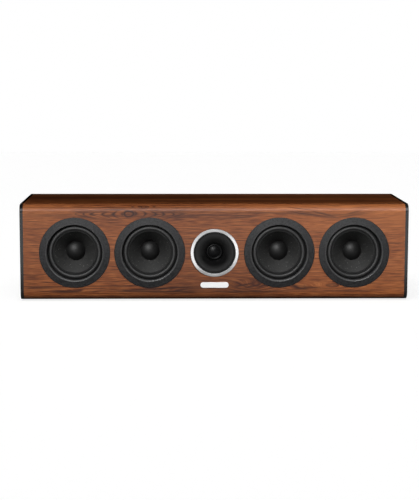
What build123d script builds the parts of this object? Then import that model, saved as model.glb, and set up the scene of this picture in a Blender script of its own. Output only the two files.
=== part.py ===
from build123d import *
from math import sqrt
import os

# Center channel speaker: four woofers either side of a horn-loaded dome tweeter.
# Millimetres. The front faces -Y, +Z is up, the origin is under the middle of the cabinet.

# Cabinet
cabinet_height = 204.0  # carcass, without the feet
cabinet_depth = 247.0  # front face of the baffle to the rear face
end_margin = 40.4  # outer woofer ring to the end of the cabinet
edge_radius = 17.0  # roundover along the top and bottom of the baffle
rear_edge_radius = 2.0
baffle_thickness = 25.0
panel_thickness = 18.0  # top, bottom and rear
cheek_thickness = 7.0  # side panel outside the carcass
cheek_plug_thickness = 12.0  # side panel inside the carcass
cheek_edge_radius = 1.0
divider_thickness = 15.0
panel_gap = 0.2  # glue line round a fitted panel
foot_height = 2.5
foot_radius = 10.0
foot_inset = 45.0
foot_chamfer = 0.6

# Driver layout
driver_drop = 1.2  # driver axes below the middle of the baffle
woofer_gap = 9.0  # between two woofer rings
tweeter_gap = 11.5  # between the tweeter ring and a woofer ring

# Badge plate, bare
badge_width = 60.0
badge_height = 12.0
badge_thickness = 1.6
badge_edge_radius = 0.5
badge_drop = 68.8  # below the driver axes

# Woofer trim ring; depths run back from the front face of the baffle
ring_radius = 74.8
ring_lip_radius = 58.8
ring_lip_round = 2.4
ring_lip_height = 4.0  # proud of the baffle at the inner lip
ring_edge_height = 1.4  # proud of the baffle at the outer edge
ring_edge_chamfer = 0.7

# Woofer basket
rebate_gap = 0.4  # round a flange in its rebate
flange_depth = 5.0
flange_thickness = 4.0
basket_wall = 2.6
seat_depth = 15.0  # where the surround is glued
seat_thickness = 3.0
basket_rear_radius = 46.0
basket_rear_plate = 4.0
basket_rear_bore = 20.0
basket_window_count = 6
basket_window_width = 34.0
basket_window_margin = 3.0
spider_ledge_inner = 39.0
spider_ledge_depth = 52.0
motor_depth = 63.0  # front of the top plate

# Woofer cone, surround, dust cap and spider
surround_crest_radius = 51.5
surround_roll_radius = 5.0
surround_thickness = 1.0
surround_flange = 2.0
cone_rim_width = 2.5
cone_thickness = 1.1
cone_depth = 29.0  # rim to neck
cone_flare = 2.4  # how far the cone curves forward of a straight one
dust_cap_radius = 20.5
dust_cap_height = 11.5
dust_cap_thickness = 0.8
spider_thickness = 0.8
spider_wave = 1.2
spider_half_waves = 6
spider_hub_width = 2.5
spider_rim_width = 1.0  # flat inside the ledge
glue_gap = 0.2

# Woofer motor
coil_radius = 16.0  # outside of the former
former_wall = 0.5
winding_thickness = 0.6
winding_length = 14.0
former_lead = 2.0  # former ahead of the cone neck
former_tail = 1.0  # former behind the winding
coil_clearance = 0.6
top_plate_radius = 40.0
top_plate_thickness = 6.0
magnet_radius = 41.0
magnet_bore = 24.0
magnet_thickness = 15.0
yoke_thickness = 6.0
pole_vent_radius = 5.0

# Tweeter
tweeter_ring_radius = 50.9
tweeter_mouth_radius = 44.2
tweeter_ring_height = 2.6  # proud of the baffle
tweeter_ring_round = 0.6
tweeter_seat_depth = 1.5  # ring to horn flange
tweeter_flange_thickness = 4.0
horn_mouth_depth = 0.4
horn_throat_radius = 17.8
horn_throat_depth = 16.0
horn_shoulder_radius = 38.5
horn_boss_radius = 35.0
horn_boss_length = 6.0
dome_radius = 12.5
dome_height = 4.2
dome_thickness = 0.5
dome_roll_height = 2.0
dome_roll_outer = 17.0
dome_flange_radius = 21.0
dome_flange_thickness = 0.7
dome_pocket_depth = 1.3  # throat edge to the dome flange
tweeter_former_wall = 0.6
tweeter_former_length = 6.8
tweeter_plate_radius = 34.0
tweeter_plate_thickness = 4.0
tweeter_magnet_radius = 30.0
tweeter_magnet_bore = 16.0
tweeter_magnet_thickness = 10.0
tweeter_yoke_thickness = 5.0

# Countersunk screws
woofer_screw_count = 6
woofer_screw_head = 4.0
woofer_screw_radius = 2.0
woofer_screw_length = 16.0
tweeter_screw_count = 4
small_screw_head = 2.6
small_screw_radius = 1.5
small_screw_length = 14.0
countersink_angle = 90
screw_gap = 0.15

# Reflex ports
port_radius = 25.0
port_wall = 3.0
port_length = 120.0
port_flare_radius = 10.0
port_flange_radius = 42.0
port_flange_height = 3.0
port_flange_round = 1.2
port_spigot_radius = 32.5
port_spigot_length = 10.0
port_gap = 0.3

# Terminal cup and binding posts; heights run out from the floor of the cup
cup_flange_rim = 13.0  # flange outside the mouth
cup_flange_thickness = 2.5
cup_flange_corner = 10.0
cup_mouth_width = 98.0
cup_mouth_height = 60.0
cup_mouth_corner = 12.0
cup_depth = 36.0
cup_wall = 3.0
cup_draft = 4.0
cup_gap = 0.5
cup_side_gap = 1.5  # terminal cup to the dividers
cup_screw_margin = 6.0
post_spacing = 38.0
post_radius = 4.0
post_height = 28.0
post_tail = 10.0
post_base_radius = 8.0
post_base_height = 3.0
plug_bore_radius = 2.0
plug_bore_depth = 18.0
thread_gap = 0.3
collar_radius = 7.0
collar_thickness = 2.2
collar_rest_gap = 0.3
cap_radius = 7.8
cap_length = 25.5
cap_end_wall = 2.4
cap_mouth_radius = 2.8
cap_flute_radius = 1.0
cap_flute_count = 16
cap_chamfer = 0.8

# Crossover in the middle chamber
board_width = 80.0
board_length = 120.0
board_thickness = 1.6
board_margin = 5.0
spacer_height = 6.0
spacer_radius = 3.5
spacer_pin_radius = 1.5
spacer_pin_height = 1.2  # above the board
inductor_radius = 17.0
inductor_bore = 6.0
inductor_height = 16.0
inductor_cheek = 1.5
inductor_step = 1.2
capacitor_radius = 8.0
capacitor_length = 32.0
capacitor_round = 1.5
resistor_length = 30.0
resistor_side = 9.0
part_gap = 0.1  # a part on the board

# Hook-up leads
lead_radius = 2.0
lead_bend = 12.0
lead_gap = 0.3
lead_hole_gap = 0.4
lead_step = 15.0  # between the two woofer leads of one side
post_lead_run = 18.2  # upright to the end of a post

# Places worked out from the sizes above
inner_woofer = tweeter_ring_radius + tweeter_gap + ring_radius
outer_woofer = inner_woofer + 2 * ring_radius + woofer_gap
cabinet_width = 2 * (outer_woofer + ring_radius + end_margin)
carcass_length = cabinet_width - 2 * cheek_thickness
overall_depth = ring_lip_height + cabinet_depth + port_flange_height
front_y = ring_lip_height - overall_depth / 2
rear_y = front_y + cabinet_depth
inside_front = front_y + baffle_thickness
inside_rear = rear_y - panel_thickness
base_z = foot_height
top_z = base_z + cabinet_height
middle_z = base_z + cabinet_height / 2
driver_z = middle_z - driver_drop
woofer_places = {
    "outer_left": -outer_woofer,
    "inner_left": -inner_woofer,
    "inner_right": inner_woofer,
    "outer_right": outer_woofer,
}
rebate_depth = flange_depth + flange_thickness
flange_radius = ring_radius - rebate_gap
basket_wall_radius = ring_lip_radius + basket_wall
woofer_screw_circle = (basket_wall_radius + flange_radius) / 2
surround_outer = surround_crest_radius + surround_roll_radius
cone_rim_outer = surround_crest_radius - surround_roll_radius
cone_radius = cone_rim_outer - cone_rim_width
neck_depth = seat_depth + cone_depth
winding_rear = motor_depth + (top_plate_thickness + winding_length) / 2
magnet_depth = motor_depth + top_plate_thickness
yoke_depth = magnet_depth + magnet_thickness
tweeter_rebate_depth = tweeter_seat_depth + tweeter_flange_thickness
tweeter_flange_radius = tweeter_ring_radius - rebate_gap
tweeter_screw_circle = (tweeter_mouth_radius + tweeter_flange_radius) / 2
dome_depth = horn_throat_depth + dome_pocket_depth
tweeter_plate_depth = dome_depth + dome_flange_thickness
tweeter_magnet_depth = tweeter_plate_depth + tweeter_plate_thickness
tweeter_yoke_depth = tweeter_magnet_depth + tweeter_magnet_thickness
chamber_width = cup_mouth_width + 2 * (cup_wall + cup_side_gap)
divider_centre = (chamber_width + divider_thickness) / 2
port_centre = (inner_woofer + outer_woofer) / 2
cup_flange_width = cup_mouth_width + 2 * cup_flange_rim
cup_flange_height = cup_mouth_height + 2 * cup_flange_rim
cup_floor = cup_depth - cup_flange_thickness
cup_floor_y = rear_y - cup_floor
cup_screw_x = cup_flange_width - 2 * cup_screw_margin
cup_screw_z = cup_flange_height - 2 * cup_screw_margin
post_places = {"red": -post_spacing / 2, "black": post_spacing / 2}
collar_height = post_base_height + collar_rest_gap
cap_height = collar_height + collar_thickness + collar_rest_gap
board_z = base_z + panel_thickness + spacer_height
board_top = board_z + board_thickness
board_y = (front_y + rear_y) / 2
board_front_y = board_y - board_length / 2
board_rear_y = board_y + board_length / 2


def driver_plane(x):
    """Half-section plane of a driver: radius along X, depth along Y."""
    return Plane(origin=(x, front_y, driver_z))


def driver_axis(x):
    return Axis((x, front_y, driver_z), (0, 1, 0))


def facing_plane(x=0.0, depth=0.0):
    """Plane across a driver, looking out of the front."""
    return Plane(origin=(x, front_y + depth, driver_z), x_dir=(1, 0, 0), z_dir=(0, -1, 0))


def inward_plane(x=0.0, depth=0.0):
    """Plane across a driver, looking into the cabinet."""
    return Plane(origin=(x, front_y + depth, driver_z), x_dir=(1, 0, 0), z_dir=(0, 1, 0))


def rear_plane(x=0.0, height=0.0):
    """Plane on the rear panel, looking out of the back."""
    return Plane(origin=(x, rear_y + height, driver_z), x_dir=(-1, 0, 0), z_dir=(0, 1, 0))


def post_plane(x):
    """Half-section plane of a binding post: radius along X, height along Y."""
    return Plane(origin=(x, cup_floor_y, driver_z))


def post_axis(x):
    return Axis((x, cup_floor_y, driver_z), (0, 1, 0))


def save(part, name):
    part.label = name
    export_step(part, f"parts/{name}.step")


def cone_front():
    """Start, middle and end of the curve down the front of the cone."""
    neck = (coil_radius, neck_depth)
    rim = (cone_radius, seat_depth)
    middle = ((neck[0] + rim[0]) / 2, (neck[1] + rim[1]) / 2 - cone_flare)
    return neck, middle, rim


def cone_depth_at(radius):
    """Depth of the cone's front at a radius, on the circle through its three points."""
    (ax, ay), (bx, by), (cx, cy) = cone_front()
    turn = 2 * (ax * (by - cy) + bx * (cy - ay) + cx * (ay - by))
    a2, b2, c2 = ax**2 + ay**2, bx**2 + by**2, cx**2 + cy**2
    ux = (a2 * (by - cy) + b2 * (cy - ay) + c2 * (ay - by)) / turn
    uy = (a2 * (cx - bx) + b2 * (ax - cx) + c2 * (bx - ax)) / turn
    return uy - sqrt((ax - ux) ** 2 + (ay - uy) ** 2 - (radius - ux) ** 2)


def cap_middle(apex, radius, height):
    """Point halfway out on a spherical cap of that radius and height."""
    sphere = (radius**2 + height**2) / (2 * height)
    return (radius / 2, apex + sphere - sqrt(sphere**2 - (radius / 2) ** 2))


def make_screw(head_radius, shank_radius, length):
    """Countersunk screw with its head at the origin, pointing along -Z."""
    head_height = head_radius - shank_radius
    with BuildPart() as screw:
        with BuildSketch(Plane.XZ):
            with BuildLine():
                Polyline(
                    (0, 0),
                    (head_radius, 0),
                    (shank_radius, -head_height),
                    (shank_radius, shank_radius - length),
                    (0, -length),
                    close=True,
                )
            make_face()
        revolve(axis=Axis.Z)
    return screw.part


def make_side_panel(side):
    """Lacquered side panel; side is -1 on the left and 1 on the right."""
    with BuildPart() as panel:
        with BuildSketch(Plane.YZ.offset(side * carcass_length / 2)) as profile:
            with Locations(((front_y + rear_y) / 2, middle_z)):
                Rectangle(cabinet_depth, cabinet_height)
            fillet(profile.vertices().group_by(Axis.X)[0], edge_radius)
            fillet(profile.vertices().group_by(Axis.X)[-1], rear_edge_radius)
        extrude(amount=side * cheek_thickness)
        outside = panel.faces().filter_by(Axis.X).sort_by(Axis.X)[-1 if side > 0 else 0]
        fillet(outside.edges(), cheek_edge_radius)
        with BuildSketch(Plane.YZ.offset(side * carcass_length / 2)):
            with Locations(((inside_front + inside_rear) / 2, middle_z)):
                Rectangle(
                    inside_rear - inside_front - 2 * panel_gap,
                    cabinet_height - 2 * panel_thickness - 2 * panel_gap,
                )
        extrude(amount=-side * cheek_plug_thickness)
    return panel.part


def make_long_panel(bottom_z, outside_edge):
    """Top or bottom panel; outside_edge picks its outer rear edge by height."""
    with BuildPart() as panel:
        with BuildSketch(Plane.XY.offset(bottom_z)):
            with Locations((0, (inside_front + rear_y) / 2)):
                Rectangle(carcass_length, rear_y - inside_front)
        extrude(amount=panel_thickness)
        rear_edges = panel.edges().filter_by(Axis.X).group_by(Axis.Y)[-1]
        fillet(rear_edges.sort_by(Axis.Z)[outside_edge], rear_edge_radius)
    return panel.part


def make_trim_ring(x):
    """Grained ring over the basket flange, sloping back from a rounded inner lip."""
    lip_top = ring_lip_round - ring_lip_height
    with BuildPart() as ring:
        with BuildSketch(driver_plane(x)):
            with BuildLine():
                Polyline(
                    (ring_lip_radius + ring_lip_round, -ring_lip_height),
                    (ring_radius - ring_edge_chamfer, -ring_edge_height),
                    (ring_radius, ring_edge_chamfer - ring_edge_height),
                    (ring_radius, flange_depth),
                    (ring_lip_radius, flange_depth),
                    (ring_lip_radius, lip_top),
                )
                TangentArc(
                    (ring_lip_radius, lip_top),
                    (ring_lip_radius + ring_lip_round, -ring_lip_height),
                    tangent=(0, -1),
                )
            make_face()
        revolve(axis=driver_axis(x))
    return ring.part


def make_basket(x):
    """Cast frame: flange, surround seat, spoked wall, spider ledge and motor plate."""
    seat_inner = surround_outer - surround_thickness
    seat_rear = seat_depth + seat_thickness
    plate_front = motor_depth - basket_rear_plate
    slope = (basket_wall_radius - basket_rear_radius) / (plate_front - seat_rear)
    ledge_outer = basket_wall_radius - basket_wall - slope * (spider_ledge_depth - seat_rear)
    window_front = seat_rear + basket_window_margin
    window_rear = spider_ledge_depth - basket_window_margin
    with BuildPart() as basket:
        with BuildSketch(driver_plane(x)):
            with BuildLine():
                Polyline(
                    (ring_lip_radius, flange_depth),
                    (flange_radius, flange_depth),
                    (flange_radius, rebate_depth),
                    (basket_wall_radius, rebate_depth),
                    (basket_wall_radius, seat_rear),
                    (basket_rear_radius, plate_front),
                    (basket_rear_radius, motor_depth),
                    (basket_rear_bore, motor_depth),
                    (basket_rear_bore, plate_front),
                    (spider_ledge_inner, plate_front),
                    (spider_ledge_inner, spider_ledge_depth),
                    (ledge_outer, spider_ledge_depth),
                    (basket_wall_radius - basket_wall, seat_rear),
                    (seat_inner, seat_rear),
                    (seat_inner, seat_depth),
                    (ring_lip_radius, seat_depth),
                    close=True,
                )
            make_face()
        revolve(axis=driver_axis(x))
        with BuildSketch(inward_plane(x, window_front)):
            with PolarLocations(basket_wall_radius, basket_window_count):
                Rectangle(2 * (basket_wall_radius - spider_ledge_inner), basket_window_width)
        extrude(amount=window_rear - window_front, mode=Mode.SUBTRACT)
        with Locations(facing_plane(x, flange_depth)):
            with PolarLocations(woofer_screw_circle, woofer_screw_count, 180 / woofer_screw_count):
                CounterSinkHole(
                    woofer_screw_radius + screw_gap,
                    woofer_screw_head + screw_gap,
                    flange_thickness,
                    countersink_angle,
                )
    return basket.part


def make_surround(x):
    """Rubber half roll between the basket's seat and the cone's rim."""
    front = seat_depth - surround_thickness
    roll = surround_roll_radius
    inner_roll = roll - surround_thickness
    with BuildPart() as surround:
        with BuildSketch(driver_plane(x)):
            with BuildLine():
                Line((cone_radius, front), (cone_rim_outer, front))
                ThreePointArc(
                    (cone_rim_outer, front),
                    (surround_crest_radius, front - roll),
                    (surround_outer, front),
                )
                Polyline(
                    (surround_outer, front),
                    (surround_outer + surround_flange, front),
                    (surround_outer + surround_flange, seat_depth),
                    (surround_crest_radius + inner_roll, seat_depth),
                    (surround_crest_radius + inner_roll, front),
                )
                ThreePointArc(
                    (surround_crest_radius + inner_roll, front),
                    (surround_crest_radius, front - inner_roll),
                    (surround_crest_radius - inner_roll, front),
                )
                Polyline(
                    (surround_crest_radius - inner_roll, front),
                    (surround_crest_radius - inner_roll, seat_depth),
                    (cone_radius, seat_depth),
                    (cone_radius, front),
                )
            make_face()
        revolve(axis=driver_axis(x))
    return surround.part


def make_cone(x):
    """Flared paper cone with a flat rim for the surround."""
    neck, middle, rim = cone_front()
    back = [(radius, depth + cone_thickness) for radius, depth in (neck, middle, rim)]
    with BuildPart() as cone:
        with BuildSketch(driver_plane(x)):
            with BuildLine():
                ThreePointArc(neck, middle, rim)
                Polyline(
                    rim,
                    (cone_rim_outer, seat_depth),
                    (cone_rim_outer, seat_depth + cone_thickness),
                    back[2],
                )
                ThreePointArc(back[2], back[1], back[0])
                Line(back[0], neck)
            make_face()
        revolve(axis=driver_axis(x))
    return cone.part


def make_dust_cap(x):
    """Domed cap glued on the front of the cone."""
    edge = cone_depth_at(dust_cap_radius) - glue_gap
    apex = edge - dust_cap_height
    inner_radius = dust_cap_radius - dust_cap_thickness
    inner_apex = apex + dust_cap_thickness
    outer_middle = cap_middle(apex, dust_cap_radius, edge - apex)
    inner_middle = cap_middle(inner_apex, inner_radius, edge - inner_apex)
    with BuildPart() as cap:
        with BuildSketch(driver_plane(x)):
            with BuildLine():
                ThreePointArc((0, apex), outer_middle, (dust_cap_radius, edge))
                Line((dust_cap_radius, edge), (inner_radius, edge))
                ThreePointArc((inner_radius, edge), inner_middle, (0, inner_apex))
                Line((0, inner_apex), (0, apex))
            make_face()
        revolve(axis=driver_axis(x))
    return cap.part


def make_voice_coil(x):
    """Former glued in the cone's neck, with its winding in the magnet gap."""
    former_front = neck_depth - former_lead
    winding_front = winding_rear - winding_length
    former_rear = winding_rear + former_tail
    winding_radius = coil_radius + winding_thickness
    with BuildPart() as coil:
        with BuildSketch(driver_plane(x)):
            with BuildLine():
                Polyline(
                    (coil_radius - former_wall, former_front),
                    (coil_radius, former_front),
                    (coil_radius, winding_front),
                    (winding_radius, winding_front),
                    (winding_radius, winding_rear),
                    (coil_radius, winding_rear),
                    (coil_radius, former_rear),
                    (coil_radius - former_wall, former_rear),
                    close=True,
                )
            make_face()
        revolve(axis=driver_axis(x))
    return coil.part


def spider_curve(start, step, level):
    """Half waves up and down by turns, from the hub to the ledge."""
    for wave in range(spider_half_waves):
        left = start + wave * step
        height = level + (spider_wave if wave % 2 else -spider_wave)
        ThreePointArc((left, level), (left + step / 2, height), (left + step, level))


def make_spider(x):
    """Corrugated spider, from the former to the basket's ledge."""
    hub = coil_radius + glue_gap
    start = hub + spider_hub_width
    end = spider_ledge_inner - spider_rim_width
    step = (end - start) / spider_half_waves
    rim = basket_rear_radius - basket_wall
    rear = spider_ledge_depth
    front = rear - spider_thickness
    with BuildPart() as spider:
        with BuildSketch(driver_plane(x)):
            with BuildLine():
                Line((hub, front), (start, front))
                spider_curve(start, step, front)
                Polyline((end, front), (rim, front), (rim, rear), (end, rear))
                spider_curve(start, step, rear)
                Polyline((start, rear), (hub, rear), (hub, front))
            make_face()
        revolve(axis=driver_axis(x))
    return spider.part


def make_port(x):
    """Reflex port with a flared mouth in the rear panel."""
    flare_start = port_flange_height - port_flare_radius
    flare_radius = port_radius + port_flare_radius
    tube_radius = port_radius + port_wall
    mouth = Plane(origin=(x, rear_y, driver_z))
    with BuildPart() as port:
        with BuildSketch(mouth):
            with BuildLine():
                Line((port_radius, -port_length), (port_radius, flare_start))
                TangentArc(
                    (port_radius, flare_start),
                    (flare_radius, port_flange_height),
                    tangent=(0, 1),
                )
                Polyline(
                    (flare_radius, port_flange_height),
                    (port_flange_radius - port_flange_round, port_flange_height),
                    (port_flange_radius, port_flange_height - port_flange_round),
                    (port_flange_radius, 0),
                    (port_spigot_radius, 0),
                    (port_spigot_radius, -port_spigot_length),
                    (tube_radius, -port_spigot_length - (port_spigot_radius - tube_radius)),
                    (tube_radius, -port_length),
                    (port_radius, -port_length),
                )
            make_face()
        revolve(axis=Axis((x, rear_y, driver_z), (0, 1, 0)))
    return port.part


def post_face(x, height):
    """Plane across a binding post, looking out of the back."""
    return Plane(origin=(x, cup_floor_y + height, driver_z), x_dir=(1, 0, 0), z_dir=(0, 1, 0))


def make_collar(x):
    """Captive washer that the cap presses on a bare wire."""
    with BuildPart() as collar:
        with BuildSketch(post_face(x, collar_height)):
            Circle(collar_radius)
            Circle(post_radius + thread_gap, mode=Mode.SUBTRACT)
        extrude(amount=collar_thickness)
    return collar.part


def make_cap(x):
    """Fluted screw cap, open at its end for a plug."""
    bore = post_radius + thread_gap
    end_wall = cap_length - cap_end_wall
    with BuildPart() as cap:
        with BuildSketch(post_plane(x)):
            with BuildLine():
                Polyline(
                    (bore, cap_height),
                    (cap_radius, cap_height),
                    (cap_radius, cap_height + cap_length - cap_chamfer),
                    (cap_radius - cap_chamfer, cap_height + cap_length),
                    (cap_mouth_radius, cap_height + cap_length),
                    (cap_mouth_radius, cap_height + end_wall),
                    (bore, cap_height + end_wall),
                    close=True,
                )
            make_face()
        revolve(axis=post_axis(x))
        with BuildSketch(post_face(x, cap_height)):
            with PolarLocations(cap_radius, cap_flute_count):
                Circle(cap_flute_radius)
        extrude(amount=end_wall, mode=Mode.SUBTRACT)
    return cap.part


os.makedirs("parts", exist_ok=True)

# Cabinet panels
with BuildPart() as front_baffle:
    with BuildSketch(Plane.YZ.offset(-carcass_length / 2)) as baffle_section:
        with Locations(((front_y + inside_front) / 2, middle_z)):
            Rectangle(baffle_thickness, cabinet_height)
        fillet(baffle_section.vertices().group_by(Axis.X)[0], edge_radius)
    extrude(amount=carcass_length)
    with Locations([facing_plane(x) for x in woofer_places.values()]):
        CounterBoreHole(
            basket_wall_radius + rebate_gap,
            ring_radius + rebate_gap,
            rebate_depth,
            baffle_thickness,
        )
        with PolarLocations(woofer_screw_circle, woofer_screw_count, 180 / woofer_screw_count):
            Hole(woofer_screw_radius + screw_gap, flange_depth + woofer_screw_length)
    with Locations(facing_plane()):
        CounterBoreHole(
            horn_shoulder_radius + rebate_gap,
            tweeter_ring_radius + rebate_gap,
            tweeter_rebate_depth,
            baffle_thickness,
        )
        with PolarLocations(tweeter_screw_circle, tweeter_screw_count, 180 / tweeter_screw_count):
            Hole(small_screw_radius + screw_gap, tweeter_seat_depth + small_screw_length)
save(front_baffle.part, "front_baffle")

save(make_long_panel(top_z - panel_thickness, -1), "top_panel")
save(make_long_panel(base_z, 0), "bottom_panel")
save(make_side_panel(-1), "left_side_panel")
save(make_side_panel(1), "right_side_panel")

with BuildPart() as rear_panel:
    with BuildSketch(inward_plane(0, cabinet_depth - panel_thickness)):
        with Locations((0, driver_z - middle_z)):
            Rectangle(carcass_length, cabinet_height - 2 * panel_thickness)
    extrude(amount=panel_thickness)
    with Locations(rear_plane(-port_centre), rear_plane(port_centre)):
        Hole(port_spigot_radius + port_gap, panel_thickness)
    with BuildSketch(rear_plane()):
        RectangleRounded(
            cup_mouth_width + 2 * (cup_wall + cup_gap),
            cup_mouth_height + 2 * (cup_wall + cup_gap),
            cup_mouth_corner,
        )
    extrude(amount=-panel_thickness, mode=Mode.SUBTRACT)
    with Locations(rear_plane()):
        with GridLocations(cup_screw_x, cup_screw_z, 2, 2):
            Hole(small_screw_radius + screw_gap, small_screw_length - cup_flange_thickness)
save(rear_panel.part, "rear_panel")

# Dividers close off the middle chamber; the woofer leads pass through them
woofer_lead_z = driver_z - (basket_rear_radius + top_plate_radius) / 2
woofer_lead_places = [board_rear_y - lead_step * n for n in (1, 2)]
with BuildPart() as chamber_dividers:
    for side in (-1, 1):
        with BuildSketch(Plane.YZ.offset(side * divider_centre)):
            with Locations(((inside_front + inside_rear) / 2, middle_z)):
                Rectangle(inside_rear - inside_front, cabinet_height - 2 * panel_thickness)
            with Locations([(y, woofer_lead_z) for y in woofer_lead_places]):
                Circle(lead_radius + lead_hole_gap, mode=Mode.SUBTRACT)
        extrude(amount=divider_thickness / 2, both=True)
save(chamber_dividers.part, "chamber_dividers")

with BuildPart() as rubber_feet:
    with BuildSketch():
        with Locations((0, (front_y + rear_y) / 2)):
            with GridLocations(
                cabinet_width - 2 * foot_inset, cabinet_depth - 2 * foot_inset, 2, 2
            ):
                Circle(foot_radius)
    extrude(amount=foot_height)
    chamfer(rubber_feet.edges().group_by(Axis.Z)[0], foot_chamfer)
save(rubber_feet.part, "rubber_feet")

with BuildPart() as badge_plate:
    with BuildSketch(facing_plane()):
        with Locations((0, -badge_drop)):
            SlotOverall(badge_width, badge_height)
    extrude(amount=badge_thickness)
    fillet(badge_plate.faces().sort_by(Axis.Y)[0].edges(), badge_edge_radius)
save(badge_plate.part, "badge_plate")

# Woofers
for place, x in woofer_places.items():
    save(make_trim_ring(x), f"{place}_trim_ring")
    save(make_basket(x), f"{place}_basket")
    save(make_surround(x), f"{place}_surround")
    save(make_cone(x), f"{place}_cone")
    save(make_dust_cap(x), f"{place}_dust_cap")
    save(make_voice_coil(x), f"{place}_voice_coil")

spiders = [make_spider(x) for x in woofer_places.values()]
with BuildPart() as woofer_spiders:
    add(spiders)
save(woofer_spiders.part, "woofer_spiders")

woofer_row = [(x, 0) for x in woofer_places.values()]

with BuildPart() as woofer_top_plates:
    with BuildSketch(inward_plane(0, motor_depth)):
        with Locations(woofer_row):
            Circle(top_plate_radius)
            Circle(coil_radius + winding_thickness + coil_clearance, mode=Mode.SUBTRACT)
    extrude(amount=top_plate_thickness)
save(woofer_top_plates.part, "woofer_top_plates")

with BuildPart() as woofer_magnets:
    with BuildSketch(inward_plane(0, magnet_depth)):
        with Locations(woofer_row):
            Circle(magnet_radius)
            Circle(magnet_bore, mode=Mode.SUBTRACT)
    extrude(amount=magnet_thickness)
save(woofer_magnets.part, "woofer_magnets")

with BuildPart() as woofer_yokes:
    with BuildSketch(inward_plane(0, yoke_depth)):
        with Locations(woofer_row):
            Circle(top_plate_radius)
    extrude(amount=yoke_thickness)
    with BuildSketch(inward_plane(0, motor_depth)):
        with Locations(woofer_row):
            Circle(coil_radius - former_wall - coil_clearance)
    extrude(amount=yoke_depth - motor_depth)
    with Locations([facing_plane(x, motor_depth) for x in woofer_places.values()]):
        Hole(pole_vent_radius, yoke_depth + yoke_thickness - motor_depth)
save(woofer_yokes.part, "woofer_yokes")

woofer_screw = make_screw(woofer_screw_head, woofer_screw_radius, woofer_screw_length)
with BuildPart() as woofer_screws:
    with Locations([facing_plane(x, flange_depth) for x in woofer_places.values()]):
        with PolarLocations(woofer_screw_circle, woofer_screw_count, 180 / woofer_screw_count):
            add(woofer_screw)
save(woofer_screws.part, "woofer_screws")

# Tweeter
with BuildPart() as tweeter_ring:
    with BuildSketch(facing_plane(0, tweeter_seat_depth)):
        Circle(tweeter_ring_radius)
        Circle(tweeter_mouth_radius + glue_gap, mode=Mode.SUBTRACT)
    extrude(amount=tweeter_seat_depth + tweeter_ring_height)
    fillet(tweeter_ring.faces().sort_by(Axis.Y)[0].edges(), tweeter_ring_round)
save(tweeter_ring.part, "tweeter_ring")

with BuildPart() as tweeter_horn:
    with BuildSketch(driver_plane(0)):
        with BuildLine():
            TangentArc(
                (tweeter_mouth_radius - glue_gap, horn_mouth_depth),
                (horn_throat_radius, horn_throat_depth),
                tangent=(-1, 0),
            )
            Polyline(
                (horn_throat_radius, horn_throat_depth),
                (horn_throat_radius, dome_depth),
                (dome_flange_radius + glue_gap, dome_depth),
                (dome_flange_radius + glue_gap, tweeter_plate_depth),
                (horn_boss_radius, tweeter_plate_depth),
                (horn_boss_radius, tweeter_plate_depth - horn_boss_length),
                (horn_shoulder_radius, tweeter_rebate_depth),
                (tweeter_flange_radius, tweeter_rebate_depth),
                (tweeter_flange_radius, tweeter_seat_depth),
                (tweeter_mouth_radius, tweeter_seat_depth),
                (tweeter_mouth_radius, horn_mouth_depth),
                (tweeter_mouth_radius - glue_gap, horn_mouth_depth),
            )
        make_face()
    revolve(axis=driver_axis(0))
    with Locations(facing_plane(0, tweeter_seat_depth)):
        with PolarLocations(tweeter_screw_circle, tweeter_screw_count, 180 / tweeter_screw_count):
            CounterSinkHole(
                small_screw_radius + screw_gap,
                small_screw_head + screw_gap,
                tweeter_flange_thickness,
                countersink_angle,
            )
save(tweeter_horn.part, "tweeter_horn")

# The dome and its half roll are pressed from one piece of cloth
dome_apex = dome_depth - dome_height
dome_rear = tweeter_plate_depth
dome_inner_apex = dome_apex + dome_thickness
dome_inner_radius = dome_radius - dome_thickness
roll_middle = (dome_radius + dome_roll_outer) / 2
with BuildPart() as tweeter_dome:
    with BuildSketch(driver_plane(0)):
        with BuildLine():
            ThreePointArc(
                (0, dome_apex),
                cap_middle(dome_apex, dome_radius, dome_height),
                (dome_radius, dome_depth),
            )
            ThreePointArc(
                (dome_radius, dome_depth),
                (roll_middle, dome_depth - dome_roll_height),
                (dome_roll_outer, dome_depth),
            )
            Polyline(
                (dome_roll_outer, dome_depth),
                (dome_flange_radius, dome_depth),
                (dome_flange_radius, dome_rear),
                (dome_roll_outer - dome_thickness, dome_rear),
            )
            ThreePointArc(
                (dome_roll_outer - dome_thickness, dome_rear),
                (roll_middle, dome_depth - dome_roll_height + dome_thickness),
                (dome_radius + dome_thickness, dome_rear),
            )
            Line((dome_radius + dome_thickness, dome_rear), (dome_inner_radius, dome_rear))
            ThreePointArc(
                (dome_inner_radius, dome_rear),
                cap_middle(dome_inner_apex, dome_inner_radius, dome_rear - dome_inner_apex),
                (0, dome_inner_apex),
            )
            Line((0, dome_inner_apex), (0, dome_apex))
        make_face()
    revolve(axis=driver_axis(0))
save(tweeter_dome.part, "tweeter_dome")

tweeter_former_inner = dome_radius - tweeter_former_wall / 2
tweeter_former_outer = dome_radius + tweeter_former_wall / 2
with BuildPart() as tweeter_coil:
    with BuildSketch(inward_plane(0, dome_rear + glue_gap)):
        Circle(tweeter_former_outer)
        Circle(tweeter_former_inner, mode=Mode.SUBTRACT)
    extrude(amount=tweeter_former_length)
save(tweeter_coil.part, "tweeter_coil")

with BuildPart() as tweeter_top_plate:
    with BuildSketch(inward_plane(0, tweeter_plate_depth)):
        Circle(tweeter_plate_radius)
        Circle(tweeter_former_outer + coil_clearance, mode=Mode.SUBTRACT)
    extrude(amount=tweeter_plate_thickness)
save(tweeter_top_plate.part, "tweeter_top_plate")

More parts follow.
